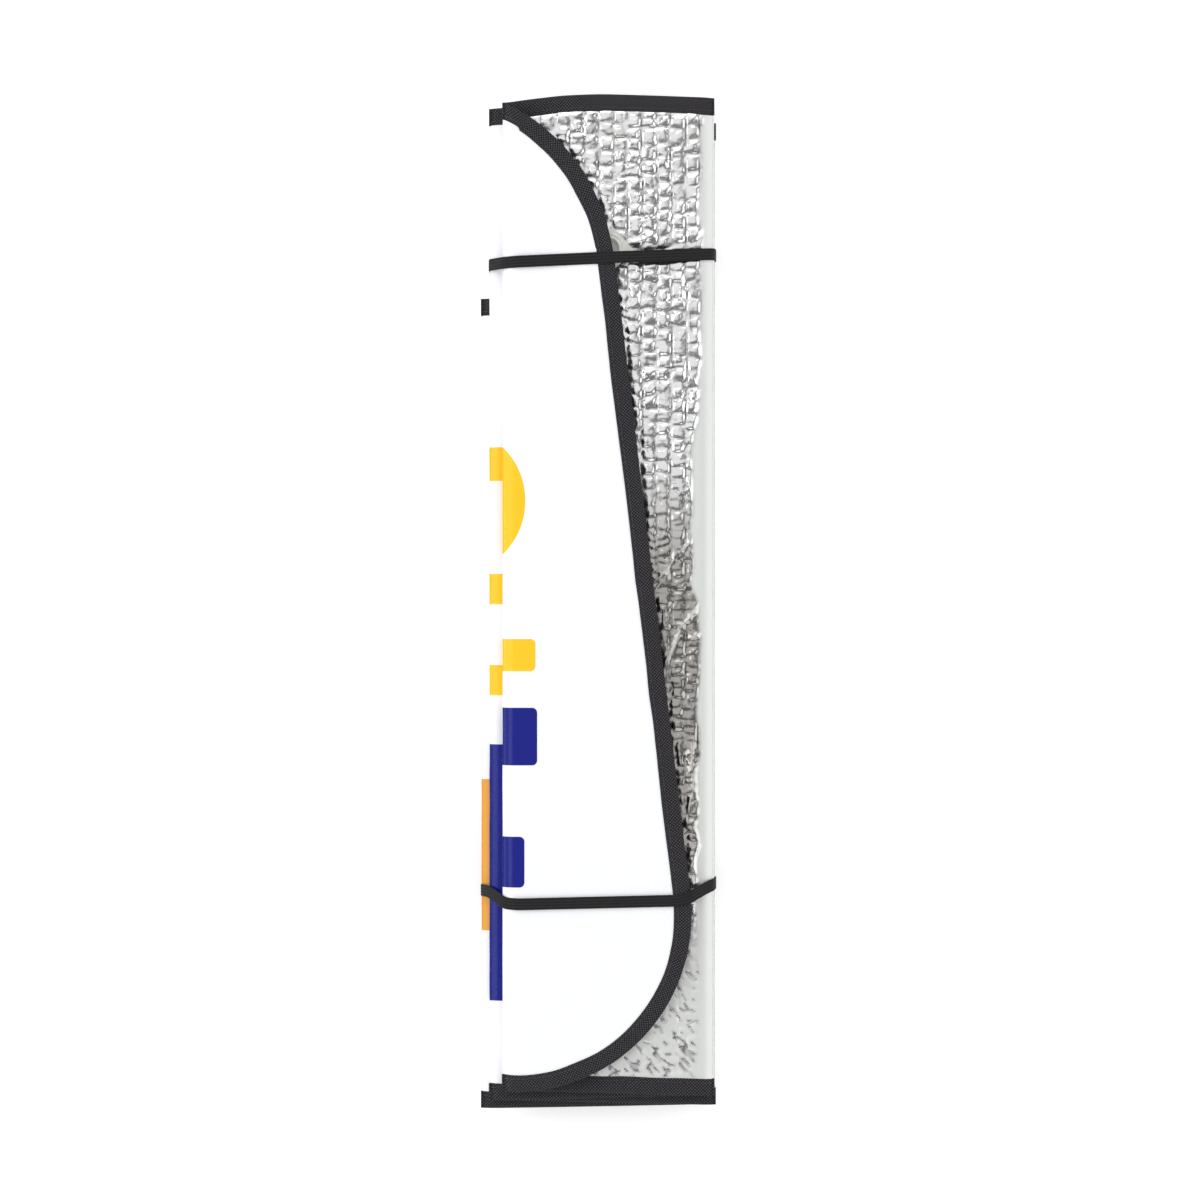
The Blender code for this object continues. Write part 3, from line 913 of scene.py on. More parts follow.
@dataclass(frozen=True)
class Wrinkle:
    """A long sharp wrinkle of the foil from one point to another, in millimetres."""

    start: tuple[float, float]
    end: tuple[float, float]
    height: float
    width: float = 1.6

    def at(self, x: np.ndarray, y: np.ndarray) -> np.ndarray:
        """Height of the wrinkle at each point.

        Args:
            x: across the panel, in millimetres.
            y: along it.

        Returns:
            Heights in millimetres.
        """
        run = np.subtract(self.end, self.start)
        length = float(np.hypot(*run))
        along = ((x - self.start[0]) * run[0] + (y - self.start[1]) * run[1]) / length
        aside = ((y - self.start[1]) * run[0] - (x - self.start[0]) * run[1]) / length
        aside = aside + 1.2 * np.sin(along / 7)
        fade = smoothstep(-3, 6, along) * (1 - smoothstep(length - 6, length + 3, along))
        return self.height * fade * np.exp(-np.abs(aside) / self.width)


# Wrinkles of the uppermost foil, pulled by the band, the cup and the front panel's weight.
WRINKLES = (
    Wrinkle((39, -36), (49, -14), 1.2, 1.1), Wrinkle((48, -15), (64, 7), 1.2, 1.1),
    Wrinkle((34, 13), (46, 29), 1.0, 1.0), Wrinkle((45, 28), (58, 41), 1.1, 1.0),
    Wrinkle((53, 13), (63, 26), 1.0, 1.0), Wrinkle((51, -22), (65, -14), 1.1, 0.9),
    Wrinkle((57, -76), (53, -135), 0.9, 1.0), Wrinkle((61, -50), (58, -135), 0.7, 0.8),
    Wrinkle((40, -34), (40, -48), 0.9, 0.7), Wrinkle((46, -80), (48, -98), -0.5, 0.8),
    Wrinkle((47, -210), (47, -278), -0.6, 0.7), Wrinkle((44, 62), (60, 74), 0.8, 0.9),
    Wrinkle((17, 220), (31, 230), 0.9, 1.2), Wrinkle((19, 212), (33, 219), 0.9, 1.0),
    Wrinkle((26, 209), (52, 212), -0.9, 1.0), Wrinkle((45, 239), (48, 231), -0.9, 0.6),
    Wrinkle((50, 216), (63, 222), 0.8, 1.0), Wrinkle((22, 197), (48, 190), 0.8, 1.1),
    Wrinkle((18, 190), (26, 176), 0.8, 1.0), Wrinkle((38, 196), (40, 176), 0.7, 0.9),
    Wrinkle((49, 196), (52, 160), 0.7, 1.0), Wrinkle((56, 186), (50, 130), 0.6, 0.9),
)

# How far the foil stays smooth beside fold 2, at heights along the fold, in millimetres.
SMOOTH = ((-300, -140, -55, -45, 0, 12, 75, 100, 140, 300),
          (7.5, 7.0, 7.0, 6.0, 6.0, 10.0, 10.5, 8.5, 6.0, 5.0))


@dataclass(frozen=True)
class Wear:
    """Where the exposed foil was handled and where its tint is duller: heights along the fold at which each
    change sets in.
    """

    middle_band_low: tuple[float, float] = (-185 * MM, -130 * MM)
    middle_band_high: tuple[float, float] = (10 * MM, 95 * MM)
    dull_right: tuple[float, float] = (5 * MM, 25 * MM)       # across: the tint is dullest beyond these
    flattened: tuple[float, float] = (-225 * MM, -180 * MM)
    strap: float = 206 * MM
    strap_width: float = 5 * MM
    strap_right: tuple[float, float] = (8 * MM, 20 * MM)
    under_tape: tuple[float, float] = (0.5 * MM, 5 * MM)        # distance from the front panel's edge


WEAR = Wear()


@dataclass
class FoilFace:
    """Foil of one panel: its height and swell, how deep its sealed creases lie (which also sets their painted
    shade), how dull its tint is and how pressed it is, 0 to 1.
    """

    height: np.ndarray
    crease: np.ndarray
    rubbed: np.ndarray
    pressed: np.ndarray
    swell: np.ndarray


@dataclass
class Panel:
    """One panel of the shade: padded bubble foil, printed film and the tape round its edges."""

    shape: PanelShape
    foil_step: float = 2.2 * MM
    film_step: float = 4.0 * MM
    covered: float = -40 * MM       # the exposed panel's foil is hidden to the left of this

    @property
    def label(self) -> str:
        """Two-figure number of the panel."""
        return f"{self.shape.number:02d}"

    @property
    def body(self) -> str:
        """Body that the panel's pieces ride on."""
        return f"panel_{self.label}"

    def net(self, step: float, hidden_step: float = 0.0) -> tuple[np.ndarray, ...]:
        """Lay a net of points over the panel, with lines close together where the laminate bends.

        Args:
            step: distance between two lines.
            hidden_step: distance between lines on the left, where another panel lies on top.

        Returns:
            x and y of the points, their depth inside the bound edges, and the cells kept.
        """
        (west, south), (east, north) = self.shape.span()
        turns = np.array(FOLD_LINES_AT) * MM
        plain = np.linspace(west, east, int(round((east - west) / step)) + 1)
        if hidden_step:
            hidden = np.arange(west, self.covered, hidden_step)
            plain = np.concatenate([hidden, plain[plain > self.covered]])
        lines = [plain[self.shape.fold_distance(plain) > turns[-1] + 0.3 * MM]]
        for fold in self.shape.folds:
            lines.append(fold.x + turns if fold.x < 0 else fold.x - turns)
        across = np.sort(np.concatenate(lines))
        along = np.linspace(south, north, int(round((north - south) / step)) + 1)
        x, y = np.meshgrid(across, along)
        depth = self.shape.depth(x, y)
        near = depth > NET_INSET
        kept = near[:-1, :-1] & near[:-1, 1:] & near[1:, :-1] & near[1:, 1:]
        return x, y, depth, kept

    def bubbles(self, x: np.ndarray, y: np.ndarray) -> FoilFace:
        """Foil of a panel that has been handled little: bubbles, a slow swell and a few dull areas.

        Args:
            x: across the panel.
            y: along it.

        Returns:
            The foil's face before folds and tape press it.
        """
        number = self.shape.number
        exposed = number == EXPOSED
        relief = BubbleRelief(number, height=(0.95 if exposed else 0.65) * MM, crumple=1.25)
        height, crease = relief.at(x / MM, y / MM)
        dull = smoothstep(0.0, 0.8, noise(x, y, 70 * MM, number * SEEDS + 15, 1.5))
        return FoilFace(height, crease * (1.0 if exposed else 0.45), 0.4 * dull, np.zeros_like(x),
                        0.5 * MM * noise(x, y, 60 * MM, number * SEEDS + 16, 1.4))

    @staticmethod
    def handle(foil: FoilFace, x: np.ndarray, y: np.ndarray, bound: np.ndarray) -> None:
        """Wear the exposed foil: finer crinkles and a duller tint at its middle, flattened low down, wrinkled
        and strapped.

        Args:
            foil: the face to wear.
            x: across the panel.
            y: along it.
            bound: 0 under the tape, 1 clear of it.
        """
        worn = smoothstep(*WEAR.middle_band_low, y) * (1 - smoothstep(*WEAR.middle_band_high, y))
        fine = BubbleRelief(31, row=5.2, height=0.8 * MM, crumple=2.3, marks=0.1).at(x / MM, y / MM)
        foil.height, foil.crease = (whole * (1 - 0.75 * worn) + 0.75 * worn * part
                                    for whole, part in zip((foil.height, foil.crease), fine))
        # a duller tint across the middle band, dullest towards the right
        foil.rubbed = worn * (0.62 + 0.38 * smoothstep(*WEAR.dull_right, x))
        low_end = 1 - smoothstep(*WEAR.flattened, y)
        shards = smoothstep(0.15, 0.5, noise(x + 0.7 * y, y, 2.3 * MM, 71, 1.4))
        foil.height = foil.height * (1 - 0.65 * low_end) - 0.4 * MM * low_end * shards
        # the shards of the flattened low end get painted crease shade as well
        foil.crease = foil.crease * (1 - 0.75 * low_end) + 0.4 * low_end * shards
        ridges = sum(wrinkle.at(x / MM, y / MM) for wrinkle in WRINKLES)
        from_tape = np.abs(SHAPES[1].depth(x, y))
        foil.height = foil.height * (0.25 + 0.75 * smoothstep(*WEAR.under_tape, from_tape)) + ridges * MM
        foil.swell = foil.swell + 0.5 * MM * noise(x, y, 28 * MM, 77, 1.3)
        strapped = np.exp(-((y - WEAR.strap) / WEAR.strap_width) ** 2) * smoothstep(*WEAR.strap_right, x)
        foil.height = foil.height * (1 - 0.8 * strapped) - 0.6 * MM * strapped
        foil.pressed = np.maximum(0.8 * smoothstep(0.5, 0.85, ridges) * bound, 0.85 * low_end * (1 - shards))

    def foil(self, x: np.ndarray, y: np.ndarray, depth: np.ndarray) -> FoilFace:
        """Shape the foil above the laminate's flat face: nothing in the folds and under the tape.

        Args:
            x: across the panel.
            y: along it.
            depth: distance inside the bound edges.

        Returns:
            The foil's face.
        """
        number = self.shape.number
        exposed = number == EXPOSED
        ragged = 1.3 * MM * noise(y, x, 11 * MM, number * SEEDS + 17)
        bound = smoothstep(*TAPE_FADE, depth + 0.4 * ragged)
        foil = self.bubbles(x, y)
        if exposed:
            self.handle(foil, x, y, bound)
        near_fold = self.shape.fold_distance(x)
        smooth_to = np.interp(y / MM, *SMOOTH) * MM if exposed else 6.5 * MM
        clear = smoothstep(0, (3.6 if exposed else 2.2) * MM, near_fold + 1.4 * ragged - smooth_to)
        pleats = 0.10 * MM * noise(x, y, 2.2 * MM, number * SEEDS + 18, 9.0)
        pleats = pleats * smoothstep(1 * MM, 4 * MM, near_fold)
        foil.height = (foil.height + foil.swell) * clear * bound + pleats * (1 - clear) * bound
        if number in CUP_PANELS:
            low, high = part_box(f"suction_cup_{CUP_PANELS[0]:02d}")
            from_cup = np.hypot(x - (low[0] + high[0]) / 2, y - (low[1] + high[1]) / 2)
            flat_under_cup = smoothstep(*CUP_FADE, from_cup)
            clear, foil.height = clear * flat_under_cup, foil.height * clear * flat_under_cup
        foil.crease, foil.rubbed = foil.crease * clear * bound, foil.rubbed * clear
        foil.pressed = np.maximum(1 - clear, foil.pressed)
        return foil

    def build(self) -> None:
        """Make the pad, the film and the tapes, and report them."""
        pad = self.build_pad()
        film = self.build_film()
        tapes = self.build_tapes()
        LOG.info("panel %s: %s, %s, %d tapes", self.label, pad.name, film.name, len(tapes))

    def build_pad(self) -> bpy.types.Object:
        """Closed bubble-foil pad: relief on its foil face, flat where the film covers it.

        Returns:
            The pad.
        """
        hidden_step = 3 * self.foil_step if self.shape.number == EXPOSED else 0
        x, y, depth, kept = self.net(self.foil_step, hidden_step)
        under, over, share = self.shape.faces(x)
        foil = self.foil(x, y, depth)
        film = PRESSED_FILM + (FILM - PRESSED_FILM) * share + 0.04 * MM
        if self.shape.cover is Face.UP:
            over, under = over - film, under - foil.height
        else:
            over, under = over + foil.height, under + film
        pad = closed_slab(f"bubble_foil_pad_{self.label}", np.dstack([x, y, over]), np.dstack([x, y, under]),
                          np.dstack([self.shape.flat_distance(x), y]), kept,
                          {"crease": foil.crease, "rubbed": foil.rubbed, "pressed": foil.pressed})
        dress(pad, FOIL, "aluminium_film", self.body, f"foil_{self.label}", f"bubble_core_{self.label}")
        return pad

    def build_film(self) -> bpy.types.Object:
        """Printed film drawn tight over the pad, with slow waves.

        Returns:
            The film.
        """
        x, y, depth, kept = self.net(self.film_step)
        under, over, share = self.shape.faces(x)
        thickness = PRESSED_FILM + (FILM - PRESSED_FILM) * share
        calm = smoothstep(8 * MM, 20 * MM, depth) * share
        wave = 0.28 * MM * noise(x, y, 46 * MM, self.shape.number + 400, 1.5) * calm
        if self.shape.number == 1:      # the cup's head lifts the front film
            bulge = np.exp(-((x + 8 * MM) ** 2 + (y - 205 * MM) ** 2) / (2 * (13 * MM) ** 2))
            wave = wave + 0.9 * MM * bulge * smoothstep(2 * MM, 14 * MM, depth)
        wave = np.maximum(wave, -0.03 * MM)
        upwards = self.shape.cover is Face.UP
        nets = (over + wave, over - thickness) if upwards else (under + thickness, under - wave)
        film = closed_slab(f"printed_film_{self.label}", *(np.dstack([x, y, height]) for height in nets),
                           np.dstack([self.shape.flat_distance(x), y]), kept)
        dress(film, PRINT, "printed_film", self.body, f"print_cover_{self.label}")
        width, height = np.ptp(self.shape.span(), axis=0)
        return film

    def build_tapes(self) -> list["Tape"]:
        """Tape round the free edge of an end panel, or along both short edges of the others.

        Returns:
            The tapes built.
        """
        tapes = [Tape(self.shape, kind, evenly(edge, 2.5 * MM)) for kind, edge in self.shape.edges.items()]
        for tape in tapes:
            tape.build()
        return tapes


# Section of the tape's leg: share of its width inwards, and height over the laminate in millimetres.
TAPE_LEG = ((1.0, 0.10), (0.985, 0.50), (0.88, 0.54), (0.78, 0.40), (0.66, 0.55), (0.45, 0.62), (0.25, 0.60),
            (0.10, 0.55), (0.02, 0.42))
# A stitch along its own length, and height over the laminate in millimetres.
STITCH_RISE = ((-0.5, 0.40), (-0.32, 0.66), (0, 0.74), (0.32, 0.66), (0.5, 0.40))


@dataclass
class Tape:
    """Binding tape folded over a panel's edge and sewn through with one row of stitches."""

    shape: PanelShape
    kind: str
    path: np.ndarray            # the laminate's cut edge, with the material on its right
    sewn_at: float = 7.6 * MM   # from the tape's fold to the stitches
    stitch: float = 3.4 * MM
    gap: float = 0.9 * MM
    thread: tuple[float, float] = (0.24 * MM, 0.16 * MM)    # half width and half height
    glue: float = 0.06 * MM     # between tape and laminate

    @property
    def name(self) -> str:
        """Name of the frame's node that the tape stands for."""
        return f"{self.kind}_binding_{self.shape.number:02d}"

    def normals(self) -> np.ndarray:
        """Outward directions, square to the fold where the tape reaches one.

        Returns:
            Unit rows of x and y.
        """
        run = np.gradient(self.path, axis=0)
        run /= np.linalg.norm(run, axis=1)[:, None]
        outwards = np.column_stack([-run[:, 1], run[:, 0]])
        near = self.shape.fold_distance(self.path[:, 0])
        square = np.column_stack([np.zeros(len(near)), np.sign(outwards[:, 1])])
        blend = smoothstep(CREASE, CREASE + 8 * MM, near)[:, None]
        mixed = square * (1 - blend) + outwards * blend
        return mixed / np.linalg.norm(mixed, axis=1)[:, None]

    def surface(self, inwards: np.ndarray, side: int, lift: float) -> np.ndarray:
        """Points on the tape, a distance in from the laminate's cut edge, above its upper or lower face.

        Args:
            inwards: distance for each point of the path.
            side: 1 for the upper leg, -1 for the lower.
            lift: height above the laminate's face.

        Returns:
            Rows of x, y and z.
        """
        flat = self.path - self.normals() * inwards[:, None]
        under, over, share = self.shape.faces(flat[:, 0])
        height = over + lift * (0.55 + 0.45 * share) if side > 0 else under - lift * (0.55 + 0.45 * share)
        return np.column_stack([flat, height])

    def build(self) -> bpy.types.Object:
        """Sweep the folded section along the edge, with the slight pucker that the stitches draw.

        Returns:
            The tape.
        """
        along = run_length(self.path)
        seed = self.shape.number, len(self.kind)
        wander = 0.35 * MM * noise(along, along * 0, 17 * MM, seed[0] * 3 + seed[1])
        pucker = 0.10 * MM * noise(along, along * 0, 5 * MM, seed[0] * 5 + seed[1])
        reach = TAPE_FACE - 0.6 * MM + wander
        legs = [[self.surface(reach * share, side, lift * MM)
                 + np.outer(pucker, (0, 0, side if 0.1 < share < 0.98 else 0)) for share, lift in TAPE_LEG]
                for side in (1, -1)]
        nose = []
        for lean in np.radians(np.linspace(60, -60, 5)):
            flat = self.path + self.normals() * (0.30 + 0.55 * math.cos(lean)) * MM
            under, over, _ = self.shape.faces(flat[:, 0])
            middle, half = (over + under) / 2, (over - under) / 2
            nose.append(np.column_stack([flat, middle + math.sin(lean) * (half + 0.1 * MM)]))
        wall = self.path + self.normals() * 0.1 * MM
        seat = [np.column_stack([wall, face]) for face in self.shape.faces(wall[:, 0])[:2]]
        lining = [self.surface(reach * share, side, self.glue) for side, share in
                  ((-1, 0.6), (-1, 0.1), (1, 0.1), (1, 0.6))]
        rings = np.stack(legs[0] + nose + legs[1][::-1] + lining[:2] + seat + lining[2:], axis=1)
        uv = spread(along, run_length(rings[len(rings) // 2]))
        piece = tube(f"{self.kind}_tape_{self.shape.number:02d}", rings, uv, closed=False)
        dress(piece, CLOTH, "binding_tape", f"panel_{self.shape.number:02d}", self.name)
        self.sew()
        return piece

    def sew(self) -> None:
        """Lay the visible stitches on both legs: short raised threads that dive at each end."""
        along = run_length(self.path)
        count = int(along[-1] / self.stitch)
        last = 4 * (len(STITCH_RISE) - 1)
        stitch = grid_faces(len(STITCH_RISE), 4, round_columns=True)
        stitch += [[3, 2, 1, 0], [last, last + 1, last + 2, last + 3]]
        aside, rise = self.thread
        points, faces = [], []
        for side in (1, -1):
            leg = np.full(len(along), self.sewn_at - 0.6 * MM)
            lifted = {lift: self.surface(leg, side, lift * MM) for _, lift in STITCH_RISE}
            for start in (np.arange(count) + 0.5) * along[-1] / count:
                faces += [[corner + len(points) for corner in face] for face in stitch]
                for share, lift in STITCH_RISE:
                    at = start + share * (self.stitch - self.gap)
                    centre, ahead = (
                        np.array([np.interp(place, along, lifted[lift][:, axis]) for axis in range(3)])
                        for place in (at, at + 0.3 * MM))
                    run = (ahead - centre)[:2]
                    run = run / max(np.linalg.norm(run), 1e-9)
                    wide, tall = np.array([-run[1], run[0], 0]) * aside, np.array([0, 0, rise])
                    points += [centre + wide, centre + tall, centre - wide, centre - tall]
        thread = add_mesh(f"{self.kind}_stitches_{self.shape.number:02d}", np.array(points), faces)
        dress(thread, THREAD, "binding_tape", f"panel_{self.shape.number:02d}")


# ---------------------------------------------------------------- folds


STRAIGHT = 1.5    # radians: a turn's first and last points, past this, lie at the end of its straight leg


@dataclass
class Crease:
    """Laminate and tape turning round one fold, bent between the two panels that meet there."""

    fold: Fold
    leg: float = 0.5 * MM       # straight run of a strip before it turns

    @property
    def side(self) -> int:
        """Side of the stack on which the fold sticks out."""
        return -1 if self.fold.number % 2 else 1

    def turn(self, low: float, high: float, outer: float, inner: float, name: str,
             finish: Finish, slot: str) -> bpy.types.Object:
        """Make one half-round strip along the fold.

        Args:
            low: lower end along the fold.
            high: upper end along the fold.
            outer: outer radius.
            inner: inner radius.
            name: the piece's name.
            finish: what it is made of.
            slot: the record's material slot.

        Returns:
            The new piece.
        """
        lengths = np.linspace(low, high, max(int((high - low) / (4 * MM)), 3))
        angles = np.radians(np.linspace(90, -90, 11))
        rings = []
        for y in lengths:
            waver = noise(np.array([y]), np.array([0.0]), 15 * MM, self.fold.number + 60)
            wobble = 0.12 * MM * float(waver[0])
            ring = []
            for radius, bulge, sweep in ((outer, wobble, angles), (inner, 0, angles[::-1])):
                for angle in sweep:
                    reach = (radius + bulge) * math.cos(angle) if abs(angle) < STRAIGHT else -self.leg
                    ring.append((self.fold.x + self.side * reach, y, self.fold.z + radius * math.sin(angle)))
            rings.append(ring)
        rings = np.array(rings)
        uv = spread(lengths, run_length(rings[0]))
        if finish is PRINT:
            flat = SHAPES[self.fold.number].flat_distance(np.full(rings.shape[1], self.fold.x))
            uv = spread(lengths, flat)[:, :, ::-1]
        piece = tube(name, rings, uv, closed=False)
        dress(piece, finish, slot)
        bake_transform(piece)
        return piece

    def build(self) -> None:
        """Make the skin's turn along the fold and the tape's turn at each end of it."""
        number = self.fold.number
        points = np.vstack(list(SHAPES[number].edges.values()))
        ends = points[np.abs(points[:, 0] - self.fold.x) < 1 * MM, 1]
        top, bottom = float(ends.max()), float(ends.min())
        skins = [(PRINT, "printed_film"), (FOIL, "aluminium_film")]
        if number % 2 == 0:
            skins.reverse()
        for (finish, slot), outer, kind in zip(skins, (OUTER_TIP, OUTER_TIP - 0.16 * MM), ("skin", "lining")):
            self.turn(bottom + SKIN_END, top - SKIN_END, outer, outer - 0.12 * MM, f"fold_{kind}_{number}",
                      finish, slot)
        outer = OUTER_TIP + 0.35 * MM
        for kind, low, high in (("top", top - 9.4 * MM, top + 0.75 * MM),
                                ("bottom", bottom - 0.75 * MM, bottom + 9.4 * MM)):
            self.turn(low, high, outer, outer - 0.3 * MM, f"fold_tape_{kind}_{number}", CLOTH, "binding_tape")
        LOG.info("fold %d turned", number)


# ---------------------------------------------------------------- bands


@dataclass
class Band:
    """Flat braided elastic stretched round the stack, following the frame's band."""

    name: str
    body: str
    slant: tuple[tuple[float, float], ...]    # place across the stack and how far the upper strand has slipped
    back: tuple[tuple[float, float], ...]     # the same for the lower strand
    width: float = 7 * MM
    thickness: float = 0.8 * MM
    ribs: int = 4
    spacing: float = 1.2 * MM                 # between two sections

    def loop(self) -> tuple[np.ndarray, float]:
        """Middle line of the band's section round the stack, and the band's middle y.

        Returns:
            Rows of x and z, and the y.
        """
        points = node_points(self.name)
        middle = (points[:, 1].min() + points[:, 1].max()) / 2
        section = [Vector((point[0], point[2])) for point in points]
        hull = np.array([section[index] for index in convex_hull_2d(section)])
        if np.sum(hull[:, 0] * np.roll(hull[:, 1], -1) - np.roll(hull[:, 0], -1) * hull[:, 1]) < 0:
            hull = hull[::-1]
        return relaxed(evenly(hull, self.spacing, closed=True), 4, closed=True), float(middle)

    def build(self) -> bpy.types.Object:
        """Sweep the ribbed section round the loop.

        Returns:
            The band.
        """
        path, middle = self.loop()
        ahead = np.roll(path, -1, axis=0) - np.roll(path, 1, axis=0)
        ahead /= np.linalg.norm(ahead, axis=1)[:, None]
        outwards = np.column_stack([ahead[:, 1], -ahead[:, 0]])
        centre = path - outwards * (self.thickness / 2 + 0.1 * MM)
        height = (path[:, 1] - path[:, 1].min()) / np.ptp(path[:, 1])
        slips = [np.interp(path[:, 0], *zip(*rows)) for rows in (self.slant, self.back)]
        slip = relaxed((slips[0] * height + slips[1] * (1 - height))[:, None], 14, closed=True)[:, 0]
        steps = np.linspace(-1, 1, self.ribs * 6 + 1)
        ribbing = np.abs(np.sin(np.pi * self.ribs * (steps + 1) / 2)) ** 0.6
        bulge = self.thickness / 2 * (0.45 + 0.55 * ribbing)
        bulge = bulge * np.sqrt(np.clip(1 - np.abs(steps) ** 12, 0.12, 1))
        section = [(step, lift) for step, lift in zip(steps, bulge)]
        section += [(step, -lift) for step, lift in zip(steps[::-1], bulge[::-1])]
        run = np.gradient(slip)
        rings = np.empty((len(path), len(section), 3))
        for index, (share, lift) in enumerate(section):
            aside = share * self.width / 2
            lean = ahead[:, 0] * run / self.spacing * aside * 0.6      # keeps the section square to the slant
            rings[:, index, 0] = centre[:, 0] + outwards[:, 0] * lift - lean
            rings[:, index, 1] = middle + slip + aside
            rings[:, index, 2] = centre[:, 1] + outwards[:, 1] * lift
        across = np.array([share * self.width / 2 for share, _ in section])
        uv = spread(np.arange(len(path)) * self.spacing, across)
        band = tube(self.name.replace("elastic_band", "braided_band"), rings, uv, closed=True)
        dress(band, ELASTIC, "elastic", self.body, self.name)
        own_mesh(band)
        LOG.info("%s: %.0f mm round", self.name, len(path) * self.spacing / MM)
        return band


# ---------------------------------------------------------------- cups


# Half section of a cup: radius and height over the laminate's face, in millimetres.
CUP_SECTION = ((0.0, 1.0), (3.2, 1.05), (5.0, 1.4), (5.9, 2.2), (6.4, 3.0), (6.9, 3.25), (7.4, 3.0),
               (7.9, 2.5), (8.4, 2.9), (8.8, 3.1), (9.2, 2.9), (9.5, 2.2), (9.9, 1.3), (11.5, 0.75),
               (13.5, 0.6), (15.0, 0.5),
               (15.3, 0.42), (15.0, 0.36), (4.6, 0.32), (3.6, 0.1), (3.5, -0.6), (3.5, -2.7), (3.9, -2.95),
               (6.6, -3.0), (7.0, -3.4), (6.5, -4.1), (4.0, -4.3), (0.0, -4.3))


@dataclass
class SuctionCup:
    """Clear cup buttoned through a panel: skirt, gripping ring, neck and head."""

    number: int

    def build(self) -> bpy.types.Object:
        """Spin the cup's section about its axis and set it where the frame has it.

        Returns:
            The cup.
        """
        node = f"suction_cup_{self.number:02d}"
        low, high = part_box(node)
        upwards = SHAPES[self.number].cover is Face.DOWN
        x, y = (low[0] + high[0]) / 2, (low[1] + high[1]) / 2
        face = SHAPES[self.number].z + (HALF_LAMINATE if upwards else -HALF_LAMINATE)
        mesh = bpy.data.meshes.new(f"clear_cup_{self.number:02d}")
        mesh.from_pydata([(radius * MM, 0, height * MM) for radius, height in CUP_SECTION],
                         [(step, step + 1) for step in range(len(CUP_SECTION) - 1)], [])
        cup = bpy.data.objects.new(mesh.name, mesh)
        bpy.context.scene.collection.objects.link(cup)
        bpy.ops.object.select_all(action="DESELECT")
        bpy.context.view_layer.objects.active = cup
        cup.select_set(True)
        bpy.ops.object.mode_set(mode="EDIT")
        bpy.ops.mesh.select_all(action="SELECT")
        bpy.ops.mesh.spin(steps=72, angle=2 * math.pi, center=(0, 0, 0), axis=(0, 0, 1))
        bpy.ops.mesh.select_all(action="SELECT")
        bpy.ops.mesh.remove_doubles(threshold=0.01 * MM)
        bpy.ops.mesh.normals_make_consistent(inside=False)
        if not upwards:
            bpy.ops.transform.mirror(constraint_axis=(False, False, True))
            bpy.ops.mesh.select_all(action="SELECT")
            bpy.ops.mesh.normals_make_consistent(inside=False)
        bpy.ops.object.mode_set(mode="OBJECT")
        cup.data.transform(Matrix.Translation((x, y, face)))
        cup.data.shade_smooth()
        dress(cup, VINYL, "clear_pvc", f"panel_{self.number:02d}", node)
        LOG.info("suction cup on panel %d", self.number)
        return cup


# ---------------------------------------------------------------- studio


@dataclass(frozen=True)
class SoftBox:
    """A soft light: where it hangs, its size and how bright its face is; it points at the shade."""

    name: str
    place: tuple[float, float, float]
    size: tuple[float, float]
    bright: float

    def build(self) -> None:
        """Hang the light."""
        data = bpy.data.lights.new(self.name, "AREA")
        data.shape = "RECTANGLE"
        data.size, data.size_y = self.size
        data.energy = 4 * self.bright * self.size[0] * self.size[1]
        lamp = bpy.data.objects.new(self.name, data)
        bpy.context.scene.collection.objects.link(lamp)
        lamp.location = self.place
        lamp.rotation_euler = (-Vector(self.place)).to_track_quat("-Z", "Y").to_euler()


BOXES = (
    SoftBox("left_box", (-1.9, 0.1, 1.5), (2.6, 1.5), 1.6),
    SoftBox("right_box", (1.9, -0.1, 1.5), (2.6, 1.5), 1.1),
    SoftBox("head_box", (0.0, 1.9, 1.5), (1.8, 1.3), 1.2),
    SoftBox("foot_box", (0.1, -1.9, 1.5), (1.8, 1.3), 0.9),
)


ROOM_STOPS = ((0.0, 0.90), (0.45, 0.62), (0.78, 0.22), (0.95, 0.16))    # height of a direction, brightness
GLOW_TOWARDS = Vector((-0.14, 0.20, 1.0))
GLOW_REACH = 38                 # degrees from its middle to where the glow ends
GLOW = 0.86


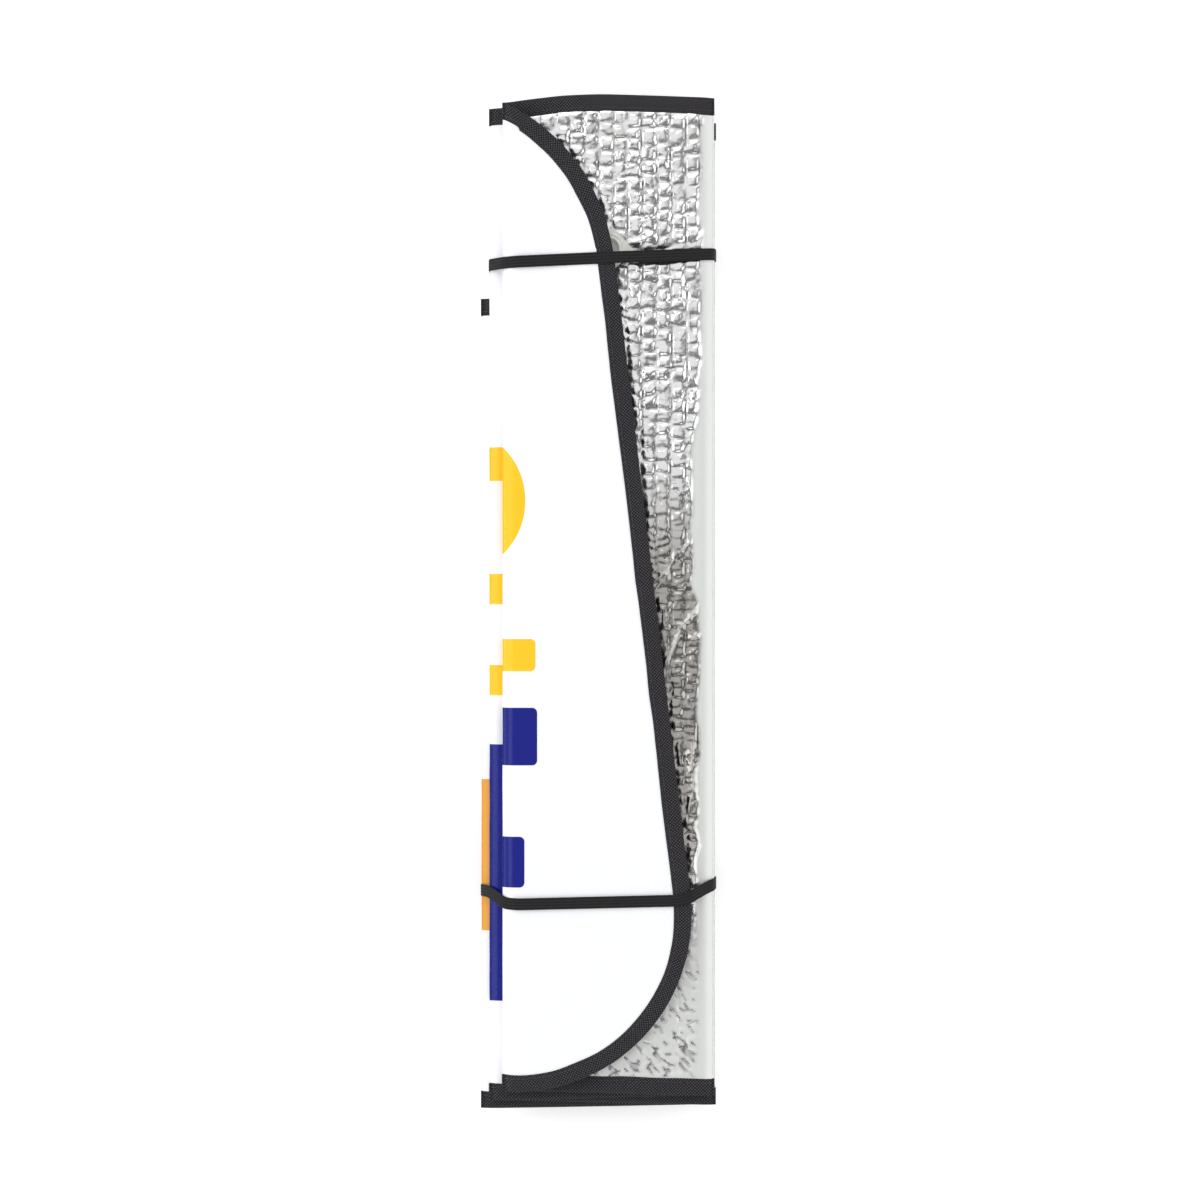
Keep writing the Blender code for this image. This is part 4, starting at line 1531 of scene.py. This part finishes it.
@dataclass
class Studio:
    """White sweep, soft light and a camera straight above the folded shade."""

    height: float = 2.3
    seen: float = 0.7066        # width of the view at the top of the stack
    centre: tuple[float, float] = (1 * MM, 1.5 * MM)

    def build(self) -> None:
        """Set the floor, the light, the surroundings and the camera."""
        bpy.ops.object.select_all(action="DESELECT")
        bpy.ops.mesh.primitive_plane_add(size=12)
        floor = bpy.context.active_object
        floor.name = "paper_sweep"
        floor.data.materials.append(StudioFloor("paper_sweep_matt").get())
        for box in BOXES:
            box.build()
        self.add_room()
        self.add_camera()
        bpy.context.scene.view_settings.view_transform = "Standard"

    @staticmethod
    def add_room() -> None:
        """Surround the set with a room pale at the horizon, dim higher up, and a feathered glow overhead."""
        world = bpy.data.worlds.new("pale_room")
        bpy.context.scene.world = world
        world.use_nodes = True
        tree = world.node_tree
        ray = add_node(tree, "ShaderNodeTexCoord").outputs["Generated"]
        height = add_node(tree, "ShaderNodeSeparateXYZ", None, Vector=ray).outputs["Z"]
        ramp = add_node(tree, "ShaderNodeValToRGB", None, Fac=height)
        for index, (place, bright) in enumerate(ROOM_STOPS):
            stop = ramp.color_ramp.elements[index] if index < 2 else ramp.color_ramp.elements.new(place)
            stop.position = place
            stop.color = (bright, bright, bright * 1.02, 1)
        facing = add_node(tree, "ShaderNodeVectorMath", {"operation": "DOT_PRODUCT"}, in0=ray,
                          in1=GLOW_TOWARDS.normalized())
        glow = add_node(tree, "ShaderNodeMapRange", {"interpolation_type": "SMOOTHERSTEP"},
                        Value=facing.outputs["Value"], in1=math.cos(math.radians(GLOW_REACH)), in2=1.0, in3=0.0,
                        in4=GLOW)
        sky = add_node(tree, "ShaderNodeVectorMath", {"operation": "ADD"}, in0=ramp.outputs["Color"],
                       in1=glow.outputs[0])
        tree.links.new(sky.outputs[0], tree.nodes["Background"].inputs["Color"])

    def add_camera(self) -> None:
        """Hang the camera so that the view is as wide as asked at the top of the stack."""
        level = CAD_BOX[1][2]
        data = bpy.data.cameras.new("camera")
        data.sensor_width = 36.0
        data.lens = data.sensor_width * self.height / self.seen
        data.clip_end = 50
        camera = bpy.data.objects.new("camera", data)
        bpy.context.scene.collection.objects.link(camera)
        camera.location = (*self.centre, level + self.height)
        bpy.context.scene.camera = camera


def main() -> None:
    """Build the studio and every sub-assembly in order."""
    logging.basicConfig(level=logging.INFO, format="%(name)s: %(message)s")
    Studio().build()
    for number, shape in SHAPES.items():
        panel = Panel(shape)
        if number == EXPOSED:
            panel.foil_step = 0.9 * MM
        panel.build()
    for fold in FOLD_LINES.values():
        Crease(fold).build()
    slack = ((-70 * MM, -3.2 * MM), (75 * MM, 3.4 * MM))
    Band("elastic_band_top", "band_top", slant=slack, back=slack).build()
    Band("elastic_band_bottom", "band_bottom",
         slant=((-66 * MM, 4 * MM), (-56 * MM, -3 * MM), (50 * MM, -0.5 * MM), (69 * MM, 8.5 * MM)),
         back=((-66 * MM, 4 * MM), (69 * MM, 8.5 * MM))).build()
    for number in CUP_PANELS:
        SuctionCup(number).build()


if __name__ == "__main__":
    main()
